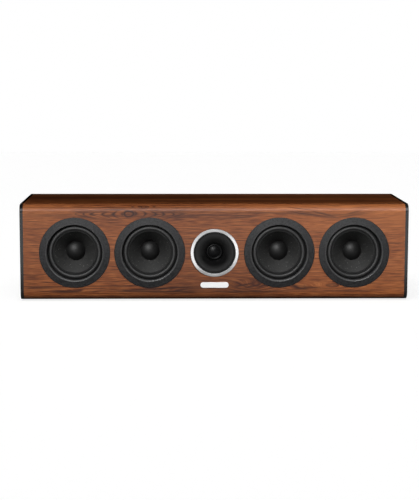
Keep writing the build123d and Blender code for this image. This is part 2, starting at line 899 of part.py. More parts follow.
with BuildPart() as tweeter_magnet:
    with BuildSketch(inward_plane(0, tweeter_magnet_depth)):
        Circle(tweeter_magnet_radius)
        Circle(tweeter_magnet_bore, mode=Mode.SUBTRACT)
    extrude(amount=tweeter_magnet_thickness)
save(tweeter_magnet.part, "tweeter_magnet")

with BuildPart() as tweeter_yoke:
    with BuildSketch(inward_plane(0, tweeter_yoke_depth)):
        Circle(tweeter_magnet_radius)
    extrude(amount=tweeter_yoke_thickness)
    with BuildSketch(inward_plane(0, tweeter_plate_depth + coil_clearance)):
        Circle(tweeter_former_inner - coil_clearance)
    extrude(amount=tweeter_yoke_depth - tweeter_plate_depth - coil_clearance)
save(tweeter_yoke.part, "tweeter_yoke")

# Rear fittings
save(make_port(-port_centre), "left_port")
save(make_port(port_centre), "right_port")

with BuildPart() as terminal_cup:
    with BuildSketch(rear_plane()):
        RectangleRounded(cup_flange_width, cup_flange_height, cup_flange_corner)
    extrude(amount=cup_flange_thickness)
    fillet(terminal_cup.faces().sort_by(Axis.Y)[-1].edges(), cup_flange_thickness / 2)
    with BuildSketch(rear_plane()):
        RectangleRounded(
            cup_mouth_width + 2 * cup_wall, cup_mouth_height + 2 * cup_wall, cup_mouth_corner
        )
    extrude(amount=-cup_floor - cup_wall)
    with BuildSketch(facing_plane(0, cabinet_depth + cup_flange_thickness)):
        RectangleRounded(cup_mouth_width, cup_mouth_height, cup_mouth_corner)
    extrude(amount=cup_depth, taper=cup_draft, mode=Mode.SUBTRACT)
    with Locations([post_face(x, 0) for x in post_places.values()]):
        Hole(post_radius + screw_gap, cup_wall)
    with Locations(rear_plane(0, cup_flange_thickness)):
        with GridLocations(cup_screw_x, cup_screw_z, 2, 2):
            CounterSinkHole(
                small_screw_radius + screw_gap,
                small_screw_head + screw_gap,
                cup_flange_thickness,
                countersink_angle,
            )
save(terminal_cup.part, "terminal_cup")

small_screw = make_screw(small_screw_head, small_screw_radius, small_screw_length)
with BuildPart() as small_screws:
    with Locations(facing_plane(0, tweeter_seat_depth)):
        with PolarLocations(tweeter_screw_circle, tweeter_screw_count, 180 / tweeter_screw_count):
            add(small_screw)
    with Locations(rear_plane(0, cup_flange_thickness)):
        with GridLocations(cup_screw_x, cup_screw_z, 2, 2):
            add(small_screw)
save(small_screws.part, "small_screws")

with BuildPart() as binding_posts:
    for x in post_places.values():
        with BuildSketch(post_plane(x)):
            with BuildLine():
                Polyline(
                    (0, -cup_wall - post_tail),
                    (post_radius, -cup_wall - post_tail),
                    (post_radius, 0),
                    (post_base_radius, 0),
                    (post_base_radius, post_base_height),
                    (post_radius, post_base_height),
                    (post_radius, post_height),
                    (plug_bore_radius, post_height),
                    (plug_bore_radius, post_height - plug_bore_depth),
                    (0, post_height - plug_bore_depth),
                    close=True,
                )
            make_face()
        revolve(axis=post_axis(x))
save(binding_posts.part, "binding_posts")

for colour, x in post_places.items():
    save(make_collar(x), f"{colour}_collar")
    save(make_cap(x), f"{colour}_cap")

# Crossover
spacer_x = board_width - 2 * board_margin
spacer_y = board_length - 2 * board_margin

with BuildPart() as crossover_board:
    with BuildSketch(Plane.XY.offset(board_z)):
        with Locations((0, board_y)):
            Rectangle(board_width, board_length)
            with GridLocations(spacer_x, spacer_y, 2, 2):
                Circle(spacer_pin_radius + part_gap, mode=Mode.SUBTRACT)
    extrude(amount=board_thickness)
save(crossover_board.part, "crossover_board")

with BuildPart() as board_spacers:
    for start, height, radius in (
        (base_z + panel_thickness, spacer_height, spacer_radius),
        (board_z, board_thickness + spacer_pin_height, spacer_pin_radius),
    ):
        with BuildSketch(Plane.XY.offset(start)):
            with Locations((0, board_y)):
                with GridLocations(spacer_x, spacer_y, 2, 2):
                    Circle(radius)
        extrude(amount=height)
save(board_spacers.part, "board_spacers")

inductor_x = inductor_radius + lead_radius + part_gap
inductor_y = board_front_y + inductor_radius + 2 * board_margin
with BuildPart() as crossover_inductors:
    for side in (-1, 1):
        with BuildSketch(Plane.XZ.offset(-inductor_y)):
            with Locations((side * inductor_x, board_top + part_gap)):
                with Locations((inductor_bore, 0)):
                    Rectangle(
                        inductor_radius - inductor_step - inductor_bore,
                        inductor_height,
                        align=(Align.MIN, Align.MIN),
                    )
                    with Locations((0, 0), (0, inductor_height - inductor_cheek)):
                        Rectangle(
                            inductor_radius - inductor_bore,
                            inductor_cheek,
                            align=(Align.MIN, Align.MIN),
                        )
        revolve(axis=Axis((side * inductor_x, inductor_y, board_top), (0, 0, 1)))
save(crossover_inductors.part, "crossover_inductors")

capacitor_y = inductor_y + inductor_radius + capacitor_radius + board_margin
capacitor_x = capacitor_length / 2 + 2 * lead_radius
capacitor_places = [
    (-capacitor_x, capacitor_y),
    (capacitor_x, capacitor_y),
    (0, capacitor_y + 2 * capacitor_radius + board_margin),
]
with BuildPart() as crossover_capacitors:
    for x, y in capacitor_places:
        with BuildSketch(Plane.YZ.offset(x - capacitor_length / 2)):
            with Locations((y, board_top + part_gap + capacitor_radius)):
                Circle(capacitor_radius)
        extrude(amount=capacitor_length)
    fillet(crossover_capacitors.edges().filter_by(GeomType.CIRCLE), capacitor_round)
save(crossover_capacitors.part, "crossover_capacitors")

resistor_y = capacitor_places[-1][1] + capacitor_radius + board_margin
with BuildPart() as crossover_resistors:
    with BuildSketch(Plane.XY.offset(board_top)):
        with Locations((0, resistor_y), (0, resistor_y + resistor_side + part_gap)):
            Rectangle(resistor_length, resistor_side, align=(Align.CENTER, Align.MIN))
    extrude(amount=resistor_side)
save(crossover_resistors.part, "crossover_resistors")

# Hook-up leads: straight runs with bends, from the board to the drivers and the posts
woofer_lead_end = front_y + motor_depth + lead_gap
woofer_lead_x = board_width / 2 - 2 * board_margin
tweeter_lead_z = driver_z - (tweeter_magnet_radius + tweeter_plate_radius) / 2
tweeter_lead_end = front_y + tweeter_magnet_depth + lead_gap
post_lead_end = cup_floor_y - cup_wall - post_tail - lead_gap
post_lead_y = post_lead_end - post_lead_run
lead_routes = [
    [
        (0, capacitor_y, board_top),
        (0, capacitor_y, tweeter_lead_z),
        (0, tweeter_lead_end, tweeter_lead_z),
    ]
]
for side in (-1, 1):
    for y, x in zip(woofer_lead_places, (outer_woofer, inner_woofer)):
        lead_routes.append(
            [
                (side * woofer_lead_x, y, board_top),
                (side * woofer_lead_x, y, woofer_lead_z),
                (side * x, y, woofer_lead_z),
                (side * x, woofer_lead_end, woofer_lead_z),
            ]
        )
    lead_routes.append(
        [
            (side * post_spacing / 2, post_lead_y, board_top),
            (side * post_spacing / 2, post_lead_y, driver_z),
            (side * post_spacing / 2, post_lead_end, driver_z),
        ]
    )
with BuildPart() as hookup_leads:
    for route in lead_routes:
        with BuildLine() as lead_path:
            FilletPolyline(*route, radius=lead_bend)
        with BuildSketch(Plane(origin=lead_path.line @ 0, z_dir=lead_path.line % 0)):
            Circle(lead_radius)
        sweep(path=lead_path.line)
save(hookup_leads.part, "hookup_leads")
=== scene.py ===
import math
from functools import partial

import bmesh
import bpy
from mathutils import Matrix, Vector


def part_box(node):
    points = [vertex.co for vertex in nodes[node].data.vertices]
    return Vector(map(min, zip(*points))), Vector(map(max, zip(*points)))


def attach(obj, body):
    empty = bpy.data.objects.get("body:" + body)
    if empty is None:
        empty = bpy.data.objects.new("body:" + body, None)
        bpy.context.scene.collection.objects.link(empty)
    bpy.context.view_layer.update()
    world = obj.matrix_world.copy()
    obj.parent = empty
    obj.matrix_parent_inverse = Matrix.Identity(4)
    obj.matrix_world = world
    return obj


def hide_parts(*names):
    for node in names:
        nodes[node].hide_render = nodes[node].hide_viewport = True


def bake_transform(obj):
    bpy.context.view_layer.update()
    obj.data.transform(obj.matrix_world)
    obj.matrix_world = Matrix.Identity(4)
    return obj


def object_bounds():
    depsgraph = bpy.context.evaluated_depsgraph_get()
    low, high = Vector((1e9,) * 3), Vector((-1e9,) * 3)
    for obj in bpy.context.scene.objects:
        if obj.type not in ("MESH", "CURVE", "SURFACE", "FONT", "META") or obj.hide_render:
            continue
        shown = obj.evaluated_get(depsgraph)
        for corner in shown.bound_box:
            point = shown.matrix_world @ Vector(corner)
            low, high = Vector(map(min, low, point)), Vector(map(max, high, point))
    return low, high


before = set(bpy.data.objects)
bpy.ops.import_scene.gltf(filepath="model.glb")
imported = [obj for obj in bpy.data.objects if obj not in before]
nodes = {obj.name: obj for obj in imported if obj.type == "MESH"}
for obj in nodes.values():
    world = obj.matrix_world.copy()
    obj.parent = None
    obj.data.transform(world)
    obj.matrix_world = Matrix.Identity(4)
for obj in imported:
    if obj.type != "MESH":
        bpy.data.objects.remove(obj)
bpy.context.view_layer.update()
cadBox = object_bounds()
scene = bpy.context.scene
scene.view_settings.view_transform = "Standard"
print("frame: loaded", len(nodes), "nodes")


def middleOf(node):
    low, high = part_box(node)
    return (low + high) / 2


# places that several pieces share, read from the frame (metres)
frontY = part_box("front_baffle")[0].y
cabinetZ = middleOf("front_baffle").z
driverZ = middleOf("tweeter_ring").z
wooferNames = ("outer_left", "inner_left", "inner_right", "outer_right")
wooferX = {name: middleOf(name + "_trim_ring").x for name in wooferNames}
pairX = middleOf("right_port").x  # middle of a pair of woofers
pairHalf = wooferX["outer_right"] - pairX


# helpers for node trees
def srgb(red, green, blue):
    channels = [c / 255 for c in (red, green, blue)]
    return tuple(((c + 0.055) / 1.055) ** 2.4 if c > 0.04045 else c / 12.92 for c in channels) + (1.0,)


def put(tree, kind, sockets=None, **props):
    node = tree.nodes.new(kind)
    for name, value in props.items():
        setattr(node, name, value)
    for key, value in (sockets or {}).items():
        if isinstance(value, bpy.types.NodeSocket):
            tree.links.new(value, node.inputs[key])
        else:
            node.inputs[key].default_value = value
    return node


def calc(tree, operation, *values):
    return put(tree, "ShaderNodeMath", dict(enumerate(values)), operation=operation).outputs[0]


def maths(tree):
    # multiply, subtract, take the larger, and multiply and add
    operations = ("MULTIPLY", "SUBTRACT", "MAXIMUM", "MULTIPLY_ADD")
    return [partial(calc, tree, operation) for operation in operations]


def mixColours(tree, factor, first, second):
    return put(tree, "ShaderNodeMix", {0: factor, 6: first, 7: second}, data_type="RGBA").outputs[2]


def remap(tree, value, fromLow, fromHigh, toLow, toHigh, smooth=False):
    sockets = {0: value, 1: fromLow, 2: fromHigh, 3: toLow, 4: toHigh}
    easing = "SMOOTHSTEP" if smooth else "LINEAR"
    return put(tree, "ShaderNodeMapRange", sockets, interpolation_type=easing).outputs[0]


def splitPlace(tree):
    place = put(tree, "ShaderNodeTexCoord").outputs["Object"]
    return put(tree, "ShaderNodeSeparateXYZ", {0: place}).outputs


socketKinds = {float: "NodeSocketFloat", int: "NodeSocketInt", tuple: "NodeSocketVector"}


def startGroup(name, treeKind, inputs, outputs):
    # an input is given by its first value, or by the kind of its socket where it has none
    group = bpy.data.node_groups.new(name, treeKind)
    outputKind = "NodeSocketGeometry" if treeKind == "GeometryNodeTree" else "NodeSocketFloat"
    for label, value in inputs.items():
        kind = socketKinds.get(type(value), value)
        socket = group.interface.new_socket(name=label, in_out="INPUT", socket_type=kind)
        if kind != value:
            socket.default_value = value
    for label in outputs:
        group.interface.new_socket(name=label, in_out="OUTPUT", socket_type=outputKind)
    return group, group.nodes.new("NodeGroupInput").outputs, group.nodes.new("NodeGroupOutput").inputs


def endTree(tree, shape, finish, result):
    real = put(tree, "GeometryNodeRealizeInstances", {"Geometry": shape})
    done = put(tree, "GeometryNodeSetMaterial", {"Geometry": real.outputs[0], "Material": finish})
    tree.links.new(done.outputs[0], result["Geometry"])
    return tree


def useGroup(tree, group, sockets=None):
    return put(tree, "ShaderNodeGroup", sockets, node_tree=group).outputs


def emptyTree(owner):
    owner.use_nodes = True
    owner.node_tree.nodes.clear()
    return owner.node_tree


def newMaterial(name):
    material = bpy.data.materials.new(name)
    tree = emptyTree(material)
    shader = put(tree, "ShaderNodeBsdfPrincipled")
    put(tree, "ShaderNodeOutputMaterial", {"Surface": shader.outputs[0]})
    return material, tree, shader


def feed(tree, shader, label, socket):
    tree.links.new(socket, shader.inputs[label])


def fedBy(shader, label):
    return shader.inputs[label].links[0].from_socket


def bumpInto(tree, shader, height, strength, distance):
    sockets = {"Strength": strength, "Distance": distance, "Height": height}
    feed(tree, shader, "Normal", put(tree, "ShaderNodeBump", sockets).outputs[0])


def paintOver(tree, shader, factor, colour):
    feed(tree, shader, "Base Color", mixColours(tree, factor, fedBy(shader, "Base Color"), colour))


def roughen(tree, shader, least):
    feed(tree, shader, "Roughness", calc(tree, "MAXIMUM", fedBy(shader, "Roughness"), least))


# effects that several finishes share
def makeGrainGroup():
    inputs = {"Scale": 500.0, "Stretch": (1, 1, 1)}
    group, given, result = startGroup("surfaceGrain", "ShaderNodeTree", inputs, ("Mottle", "Height"))
    fineStep, fineShare = 3.3, 0.5  # the finer layer against the coarse one
    place = put(group, "ShaderNodeTexCoord").outputs["Object"]
    sockets = {0: place, 1: given["Stretch"]}
    stretched = put(group, "ShaderNodeVectorMath", sockets, operation="MULTIPLY").outputs[0]

    def noise(scale, detail, roughness):
        sockets = {"Vector": stretched, "Scale": scale, "Detail": detail, "Roughness": roughness}
        return put(group, "ShaderNodeTexNoise", sockets).outputs[0]

    coarse = noise(given["Scale"], 3.0, 0.6)
    fine = noise(calc(group, "MULTIPLY", given["Scale"], fineStep), 2.0, 0.5)
    group.links.new(remap(group, coarse, 0.3, 0.7, 0.0, 1.0), result["Mottle"])
    group.links.new(calc(group, "MULTIPLY_ADD", fine, fineShare, coarse), result["Height"])
    return group


def makeTurnedGroup():
    # distance from a driver's axis, and fine lines that run round it
    inputs = {"Fold": 0.0, "Half": 0.0, "Pitch": 0.001, "Lead": 0.0}
    group, given, result = startGroup("turnedLines", "ShaderNodeTree", inputs, ("Radius", "Lines"))
    times, minus, larger, timesPlus = maths(group)
    place = splitPlace(group)
    # folding X about the middle and about a pair puts all four woofers on one axis
    folded = minus(calc(group, "ABSOLUTE", place[0]), given["Fold"])
    localX = minus(calc(group, "ABSOLUTE", folded), given["Half"])
    localZ = minus(place[2], driverZ)
    radius = calc(group, "SQRT", timesPlus(localX, localX, times(localZ, localZ)))
    angle = calc(group, "ARCTAN2", localZ, localX)
    turns = timesPlus(angle, given["Lead"], calc(group, "DIVIDE", radius, given["Pitch"]))
    group.links.new(radius, result["Radius"])
    group.links.new(calc(group, "SINE", times(turns, 2 * math.pi)), result["Lines"])
    return group


def makeWeaveGroup():
    group, given, result = startGroup("clothWeave", "ShaderNodeTree", {"Pitch": 0.0006}, ("Height",))
    place = splitPlace(group)
    rate = calc(group, "DIVIDE", 2 * math.pi, given["Pitch"])
    warp, weft = (calc(group, "SINE", calc(group, "MULTIPLY", place[axis], rate)) for axis in (0, 2))
    height = remap(group, calc(group, "MULTIPLY", warp, weft), -1.0, 1.0, 0.0, 1.0)
    group.links.new(height, result["Height"])
    return group


grainGroup = makeGrainGroup()
turnedGroup = makeTurnedGroup()
weaveGroup = makeWeaveGroup()
wooferAxis = {"Fold": pairX, "Half": pairHalf}


def grainyFinish(name, look):
    material, tree, shader = newMaterial(name)
    sockets = {"Scale": look["grain"], "Stretch": look.get("stretch", (1, 1, 1))}
    grain = useGroup(tree, grainGroup, sockets)
    feed(tree, shader, "Base Color", mixColours(tree, grain["Mottle"], look["dark"], look["light"]))
    feed(tree, shader, "Roughness", remap(tree, grain["Mottle"], 0.0, 1.0, *look["roughness"]))
    shader.inputs["Metallic"].default_value = look.get("metallic", 0.0)
    shader.inputs["Specular IOR Level"].default_value = look.get("specular", 0.5)
    shader.inputs["Coat Weight"].default_value = look.get("coat", 0.0)
    shader.inputs["Coat Roughness"].default_value = look.get("coatRoughness", 0.03)
    if "bump" in look:
        bumpInto(tree, shader, grain["Height"], look["bump"], look.get("relief", 0.0002))
    return material, tree, shader


def dress(material, *names):
    for name in names:
        nodes[name].data.materials[0] = material


def dressPlain(name, look, *names):
    dress(grainyFinish(name, look)[0], *names)


# cabinet
veneerLook = {
    "pale": srgb(184, 112, 64),
    "main": srgb(148, 82, 42),
    "deep": srgb(100, 51, 27),
    "vein": srgb(42, 17, 15),
    "stops": (0.42, 0.50, 0.58),  # tones that are deep, main and pale
    "roughness": (0.40, 0.33),
    "specular": 0.80,
    "bump": 0.06,
    "relief": 0.0002,
    # noise along the grain: steps along it and across it, detail, and a shift to a fresh part
    "noise": {
        "wander": (2.3, 11.0, 2.0, 0.0),
        "ripple": (16.0, 60.0, 3.0, 4.0),
        "broken": (7.0, 110.0, 2.0, 9.0),
        "uneasy": (48.0, 40.0, 1.0, 12.0),
        "patchy": (60.0, 90.0, 1.0, 15.0),
        "bands": (2.2, 80.0, 3.0, 2.0),
        "fibres": (30.0, 960.0, 2.0, 8.0),
        "broad": (1.3, 24.0, 2.0, 5.0),
        "lines": (10.0, 440.0, 2.0, 6.0),
        "pores": (70.0, 1500.0, 1.0, 3.0),
        "top": (1.0, 15.0, 2.0, 7.0),
    },
    "noiseRoughness": 0.55,
    "toneShares": {"bands": 0.12, "fibres": 0.58, "broad": 0.12, "lines": 0.18},
    "wander": 0.020,  # how far a line wanders across the sheet
    "ripple": 0.0015,
    "streakRipple": 0.005,
    "pores": {"from": (0.60, 0.72), "ink": 0.35, "depth": 0.8},
    # growth rings: unevenly spaced, stronger near the long edges, broken along the grain
    "rings": {
        "pitch": 0.0080,
        "unevenness": (0.45, 2.0, 1.3),  # scale, detail and strength
        "sharpness": (4.0, 2.8),  # plain, and bolder round a swell
        "edges": (0.055, 0.085, 0.45, 0.80),
        "breaks": (0.44, 0.58, 0.05, 1.0),
    },
    # soft patches of tint: middle, half length, half height, strength and tint; some are the wood's own
    # tone, some painted light and painted shade
    "toneAndPaintedLight": (
        # painted light: paler at both ends and on the upper roundover
        (0.420, 0.185, 0.170, 0.034, 0.40, "pale"),
        (0.400, 0.209, 0.300, 0.010, 0.50, "pale"),
        (-0.420, 0.195, 0.110, 0.020, 0.45, "pale"),
        # darker across the middle and low down: partly the wood's own tone, partly painted shade
        (0.020, 0.028, 0.150, 0.032, 0.36, "vein"),
        (-0.020, 0.105, 0.170, 0.080, 0.27, "vein"),
        (-0.110, 0.026, 0.110, 0.010, 0.26, "vein"),
        (-0.340, 0.022, 0.100, 0.007, 0.22, "vein"),
        (-0.120, 0.190, 0.130, 0.012, 0.28, "vein"),
        # a thin dark streak in the wood
        (-0.210, 0.1965, 0.026, 0.0028, 0.60, "vein"),
        # darker across the top middle: partly the wood's own tone, partly painted shade
        (0.000, 0.188, 0.120, 0.014, 0.20, "vein"),
        # a thin red-brown streak in the wood
        (-0.350, 0.1825, 0.060, 0.0035, 0.40, "vein"),
        # painted shade along the bottom roundover, darkest on the right
        (0.420, -0.006, 0.480, 0.011, 0.95, "vein"),
        (-0.200, -0.006, 0.400, 0.010, 0.62, "vein"),
    ),
    "topEdge": (0.217, 0.228),  # where the sheet has turned over onto the top
    "topPaintedShade": (0.40, 0.60, 0.05, 0.60),  # the top is painted darker in faint bands, as painted shade
    # a swell lifts the lines in a ridge and inks them, or only a band of them where it has one:
    # middle, half length, half height, lift, ink and band
    "swells": (
        (-0.180, 0.1860, 0.240, 0.0200, 0.007, 0.0, None),
        (0.257, 0.1960, 0.110, 0.0300, 0.015, 0.40, 0.011),
        (0.252, 0.0300, 0.060, 0.0075, 0.015, 0.75, None),
        (0.088, 0.0310, 0.060, 0.0130, 0.022, 0.80, None),
        (0.186, 0.0280, 0.045, 0.0060, 0.010, 1.00, None),
        (-0.300, 0.0200, 0.090, 0.0050, 0.008, 0.85, None),
        (-0.125, 0.0210, 0.110, 0.0070, 0.008, 0.90, None),
    ),
    "swellCrest": 0.004,  # rounds the ridge's top
    "swellFade": 0.35,  # the ridge's height at which the ink is full
    "swellSpread": 0.4,
    # single dark streaks: middle, slope, half length, half thickness and strength
    "streaks": (
        (-0.114, 0.0270, 0.047, 0.085, 0.0022, 0.95),
        (-0.114, 0.0208, -0.019, 0.085, 0.0020, 0.90),
        (-0.184, 0.0225, 0.0, 0.014, 0.0030, 0.87),
        (-0.136, 0.0278, 0.02, 0.014, 0.0024, 0.87),
        (-0.314, 0.0215, 0.0, 0.034, 0.0030, 0.92),
        (-0.372, 0.0285, 0.0, 0.030, 0.0018, 0.85),
        (-0.250, 0.0260, 0.0, 0.045, 0.0014, 0.62),
        (0.183, 0.0268, -0.05, 0.017, 0.0030, 0.90),
        (0.200, 0.0300, -0.08, 0.030, 0.0015, 0.72),
        (0.080, 0.0205, 0.01, 0.070, 0.0019, 0.85),
        (0.300, 0.0225, 0.02, 0.060, 0.0014, 0.62),
        (0.062, 0.0345, 0.16, 0.022, 0.0019, 0.92),
        (0.084, 0.0330, 0.24, 0.020, 0.0019, 0.92),
        (0.104, 0.0330, 0.26, 0.016, 0.0019, 0.88),
        (0.199, 0.1848, -0.128, 0.052, 0.0022, 0.96),
        (0.292, 0.1832, 0.126, 0.030, 0.0021, 0.96),
        (0.230, 0.1856, -0.230, 0.028, 0.0024, 0.96),
        (0.294, 0.1888, 0.230, 0.018, 0.0023, 0.94),
        (0.245, 0.1790, -0.060, 0.020, 0.0018, 0.88),
        (-0.270, 0.1798, -0.240, 0.024, 0.0016, 0.85),
        (-0.255, 0.1895, 0.083, 0.040, 0.0014, 0.70),
        (-0.084, 0.1815, 0.240, 0.024, 0.0016, 0.85),
        (-0.098, 0.1900, -0.078, 0.040, 0.0014, 0.70),
        (0.055, 0.1825, -0.030, 0.036, 0.0015, 0.72),
        (0.110, 0.1880, -0.050, 0.040, 0.0018, 0.67),
        (-0.020, 0.1830, 0.010, 0.050, 0.0015, 0.62),
        (-0.062, 0.1790, 0.030, 0.030, 0.0018, 0.67),
        (-0.092, 0.1490, 0.0, 0.012, 0.0022, 0.90),
        (-0.060, 0.1330, 0.0, 0.022, 0.0012, 0.57),
        (0.225, 0.1145, 0.0, 0.012, 0.0014, 0.72),
        (-0.066, 0.0540, 0.0, 0.024, 0.0014, 0.62),
        (0.062, 0.0600, 0.02, 0.026, 0.0014, 0.62),
    ),
    # an eye is a ringed spot with bent marks on both sides, longer and flatter the further off they are
    "eyes": (
        {"x": -0.1815, "across": 0.1857, "wide": 0.0110, "tall": 0.0070, "reach": 0.112, "marks": 5.6},
        {"x": -0.1500, "across": 0.2045, "wide": 0.0065, "tall": 0.0048, "reach": 0.030, "marks": 2.2},
    ),
    "eyeMarks": {
        "bend": (0.35, 0.055),
        "phase": 0.27,
        "sharpness": 2.6,
        "spread": 0.5,
        "start": (0.09, 0.12),  # shares of the reach
        "end": (0.95, 1.15),
        "patches": (0.32, 0.60, 0.80, 1.0),
        "ripple": 0.7,
        "unease": 0.16,
    },
    "eyeSpot": {"ring": (0.9, 0.33), "core": (0.15, 0.25), "coreInk": 0.4, "unease": 0.9},
}


def share(tree, value, middle, size):
    return calc(tree, "DIVIDE", calc(tree, "SUBTRACT", value, middle), size)


def bell(tree, value, sharpness=1.0):
    square = calc(tree, "MULTIPLY", value, value)
    return calc(tree, "EXPONENT", calc(tree, "MULTIPLY", square, -sharpness))


def comb(tree, phase, sharpness):
    wave = calc(tree, "COSINE", calc(tree, "MULTIPLY", phase, 2 * math.pi))
    return calc(tree, "POWER", calc(tree, "MULTIPLY_ADD", wave, 0.5, 0.5), sharpness)


def grainNoise(tree, look, name, source):
    lengthwise, crosswise, detail, shift = look["noise"][name]
    sockets = {"Vector": source, "Location": (shift, shift, 0), "Scale": (lengthwise, crosswise, 1)}
    spot = put(tree, "ShaderNodeMapping", sockets).outputs[0]
    sockets = {"Vector": spot, "Scale": 1.0, "Detail": detail, "Roughness": look["noiseRoughness"]}
    return put(tree, "ShaderNodeTexNoise", sockets).outputs[0]


def unevenness(tree, look, name, source):
    return calc(tree, "SUBTRACT", grainNoise(tree, look, name, source), 0.5)


def liftSwells(tree, look, along, across, field):
    times, minus, larger, timesPlus = maths(tree)
    ink = 0.0
    for x, middle, length, halfHeight, lift, darkest, band in look["swells"]:
        dx = share(tree, along, x, length)
        dz = share(tree, across, middle, halfHeight)
        run = calc(tree, "SQRT", timesPlus(dx, dx, look["swellCrest"]))
        ridge = larger(minus(1.0, run), 0.0)
        field = timesPlus(times(ridge, bell(tree, dz)), lift, field)
        near = bell(tree, share(tree, field, middle, band)) if band else bell(tree, dz, look["swellSpread"])
        strength = remap(tree, ridge, 0.0, look["swellFade"], 0.0, darkest, True)
        ink = larger(times(strength, near), ink)
    return field, ink


def drawRings(tree, look, height, flow, field, ink):
    # contour lines of the field
    times, minus, larger, timesPlus = maths(tree)
    rings = look["rings"]
    scale, detail, amount = rings["unevenness"]
    count = calc(tree, "DIVIDE", field, rings["pitch"])
    sockets = {"W": count, "Scale": scale, "Detail": detail}
    uneven = put(tree, "ShaderNodeTexNoise", sockets, noise_dimensions="1D").outputs[0]
    line = comb(tree, timesPlus(uneven, amount, count), remap(tree, ink, 0.0, 0.9, *rings["sharpness"]))
    fromMiddle = calc(tree, "ABSOLUTE", minus(height, cabinetZ))
    atEdges = remap(tree, fromMiddle, *rings["edges"], True)
    broken = remap(tree, grainNoise(tree, look, "broken", flow), *rings["breaks"], True)
    return times(line, larger(times(atEdges, broken), ink))


def drawStreaks(tree, look, along, wavy, veins):
    times, minus, larger, timesPlus = maths(tree)
    for x, middle, slope, length, thickness, strength in look["streaks"]:
        off = minus(along, x)
        dz = share(tree, timesPlus(off, -slope, wavy), middle, thickness)
        dx = calc(tree, "DIVIDE", off, length)
        drawn = times(times(bell(tree, times(dx, dx)), bell(tree, dz)), strength)
        veins = larger(drawn, veins)
    return veins


def drawEyes(tree, look, along, across, ripple, sheet, veins):
    times, minus, larger, timesPlus = maths(tree)
    shape, spot = look["eyeMarks"], look["eyeSpot"]
    uneasy = unevenness(tree, look, "uneasy", sheet)
    patchy = remap(tree, grainNoise(tree, look, "patchy", sheet), *shape["patches"], True)
    for eye in look["eyes"]:
        out = calc(tree, "ABSOLUTE", share(tree, along, eye["x"], eye["reach"]))
        up = timesPlus(ripple, shape["ripple"], share(tree, across, eye["across"], eye["tall"]))
        high = times(up, up)
        bend = timesPlus(times(out, out), *shape["bend"])
        bow = timesPlus(high, bend, timesPlus(uneasy, shape["unease"], out))
        marks = comb(tree, timesPlus(bow, eye["marks"], shape["phase"]), shape["sharpness"])
        inside = times(bell(tree, up, shape["spread"]), remap(tree, out, *shape["end"], 1.0, 0.0, True))
        inside = times(inside, remap(tree, out, *shape["start"], 0.0, 1.0, True))
        marks = times(times(marks, inside), patchy)
        dx = share(tree, along, eye["x"], eye["wide"])
        reach = timesPlus(uneasy, spot["unease"], calc(tree, "SQRT", timesPlus(dx, dx, high)))
        core = times(bell(tree, share(tree, reach, *spot["core"])), spot["coreInk"])
        ring = larger(bell(tree, share(tree, reach, *spot["ring"])), core)
        veins = larger(larger(marks, ring), veins)
    return veins


def makeVeneer(look):
    material, tree, shader = newMaterial("veneer")
    times, minus, larger, timesPlus = maths(tree)
    along, depth, height = splitPlace(tree)
    # one sheet is wrapped over both long edges, so its width runs on from the front over the roundover
    edgeSide = calc(tree, "SIGN", minus(height, cabinetZ))
    across = timesPlus(minus(depth, frontY), edgeSide, height)
    sheet = put(tree, "ShaderNodeCombineXYZ", {0: along, 1: across}).outputs[0]
    ripple = unevenness(tree, look, "ripple", sheet)
    field = timesPlus(unevenness(tree, look, "wander", sheet), look["wander"], across)
    field = timesPlus(ripple, look["ripple"], field)
    field, ink = liftSwells(tree, look, along, across, field)
    flow = put(tree, "ShaderNodeCombineXYZ", {0: along, 1: field}).outputs[0]
    veins = drawRings(tree, look, height, flow, field, ink)
    veins = drawStreaks(tree, look, along, timesPlus(ripple, look["streakRipple"], across), veins)
    veins = drawEyes(tree, look, along, across, ripple, sheet, veins)
    veins = put(tree, "ShaderNodeClamp", {0: veins}).outputs[0]

    # bands and fine fibres give the tone, and open pores lie between them
    layers = {name: grainNoise(tree, look, name, flow) for name in look["toneShares"]}
    tone = 0.0
    for name, part in look["toneShares"].items():
        tone = timesPlus(layers[name], part, tone)
    ramp = put(tree, "ShaderNodeValToRGB", {"Fac": tone})
    stops = ramp.color_ramp.elements
    deepTone, mainTone, paleTone = look["stops"]
    stops[0].position, stops[0].color = deepTone, look["deep"]
    stops[1].position, stops[1].color = paleTone, look["pale"]
    stops.new(mainTone).color = look["main"]
    pores = remap(tree, grainNoise(tree, look, "pores", flow), *look["pores"]["from"], 0.0, 1.0)
    colour = mixColours(tree, veins, ramp.outputs[0], look["vein"])
    colour = mixColours(tree, times(pores, look["pores"]["ink"]), colour, look["vein"])
    # the wood's own tone, with painted light and painted shade, laid over the grain
    for x, middle, length, halfHeight, strength, tint in look["toneAndPaintedLight"]:
        dx = share(tree, along, x, length)
        dz = share(tree, across, middle, halfHeight)
        dim = times(times(bell(tree, dx), bell(tree, dz)), strength)
        colour = mixColours(tree, dim, colour, look[tint])
    # painted shade: the top is painted darker than the front
    onTop = remap(tree, across, *look["topEdge"], 0.0, 1.0, True)
    topShadeShare = remap(tree, grainNoise(tree, look, "top", sheet), *look["topPaintedShade"])
    feed(tree, shader, "Base Color", mixColours(tree, times(topShadeShare, onTop), colour, look["vein"]))
    feed(tree, shader, "Roughness", remap(tree, tone, 0.3, 0.7, *look["roughness"]))
    shader.inputs["Specular IOR Level"].default_value = look["specular"]
    surface = minus(layers["fibres"], times(pores, look["pores"]["depth"]))
    bumpInto(tree, shader, surface, look["bump"], look["relief"])
    return material


dress(makeVeneer(veneerLook), "front_baffle", "top_panel", "bottom_panel")

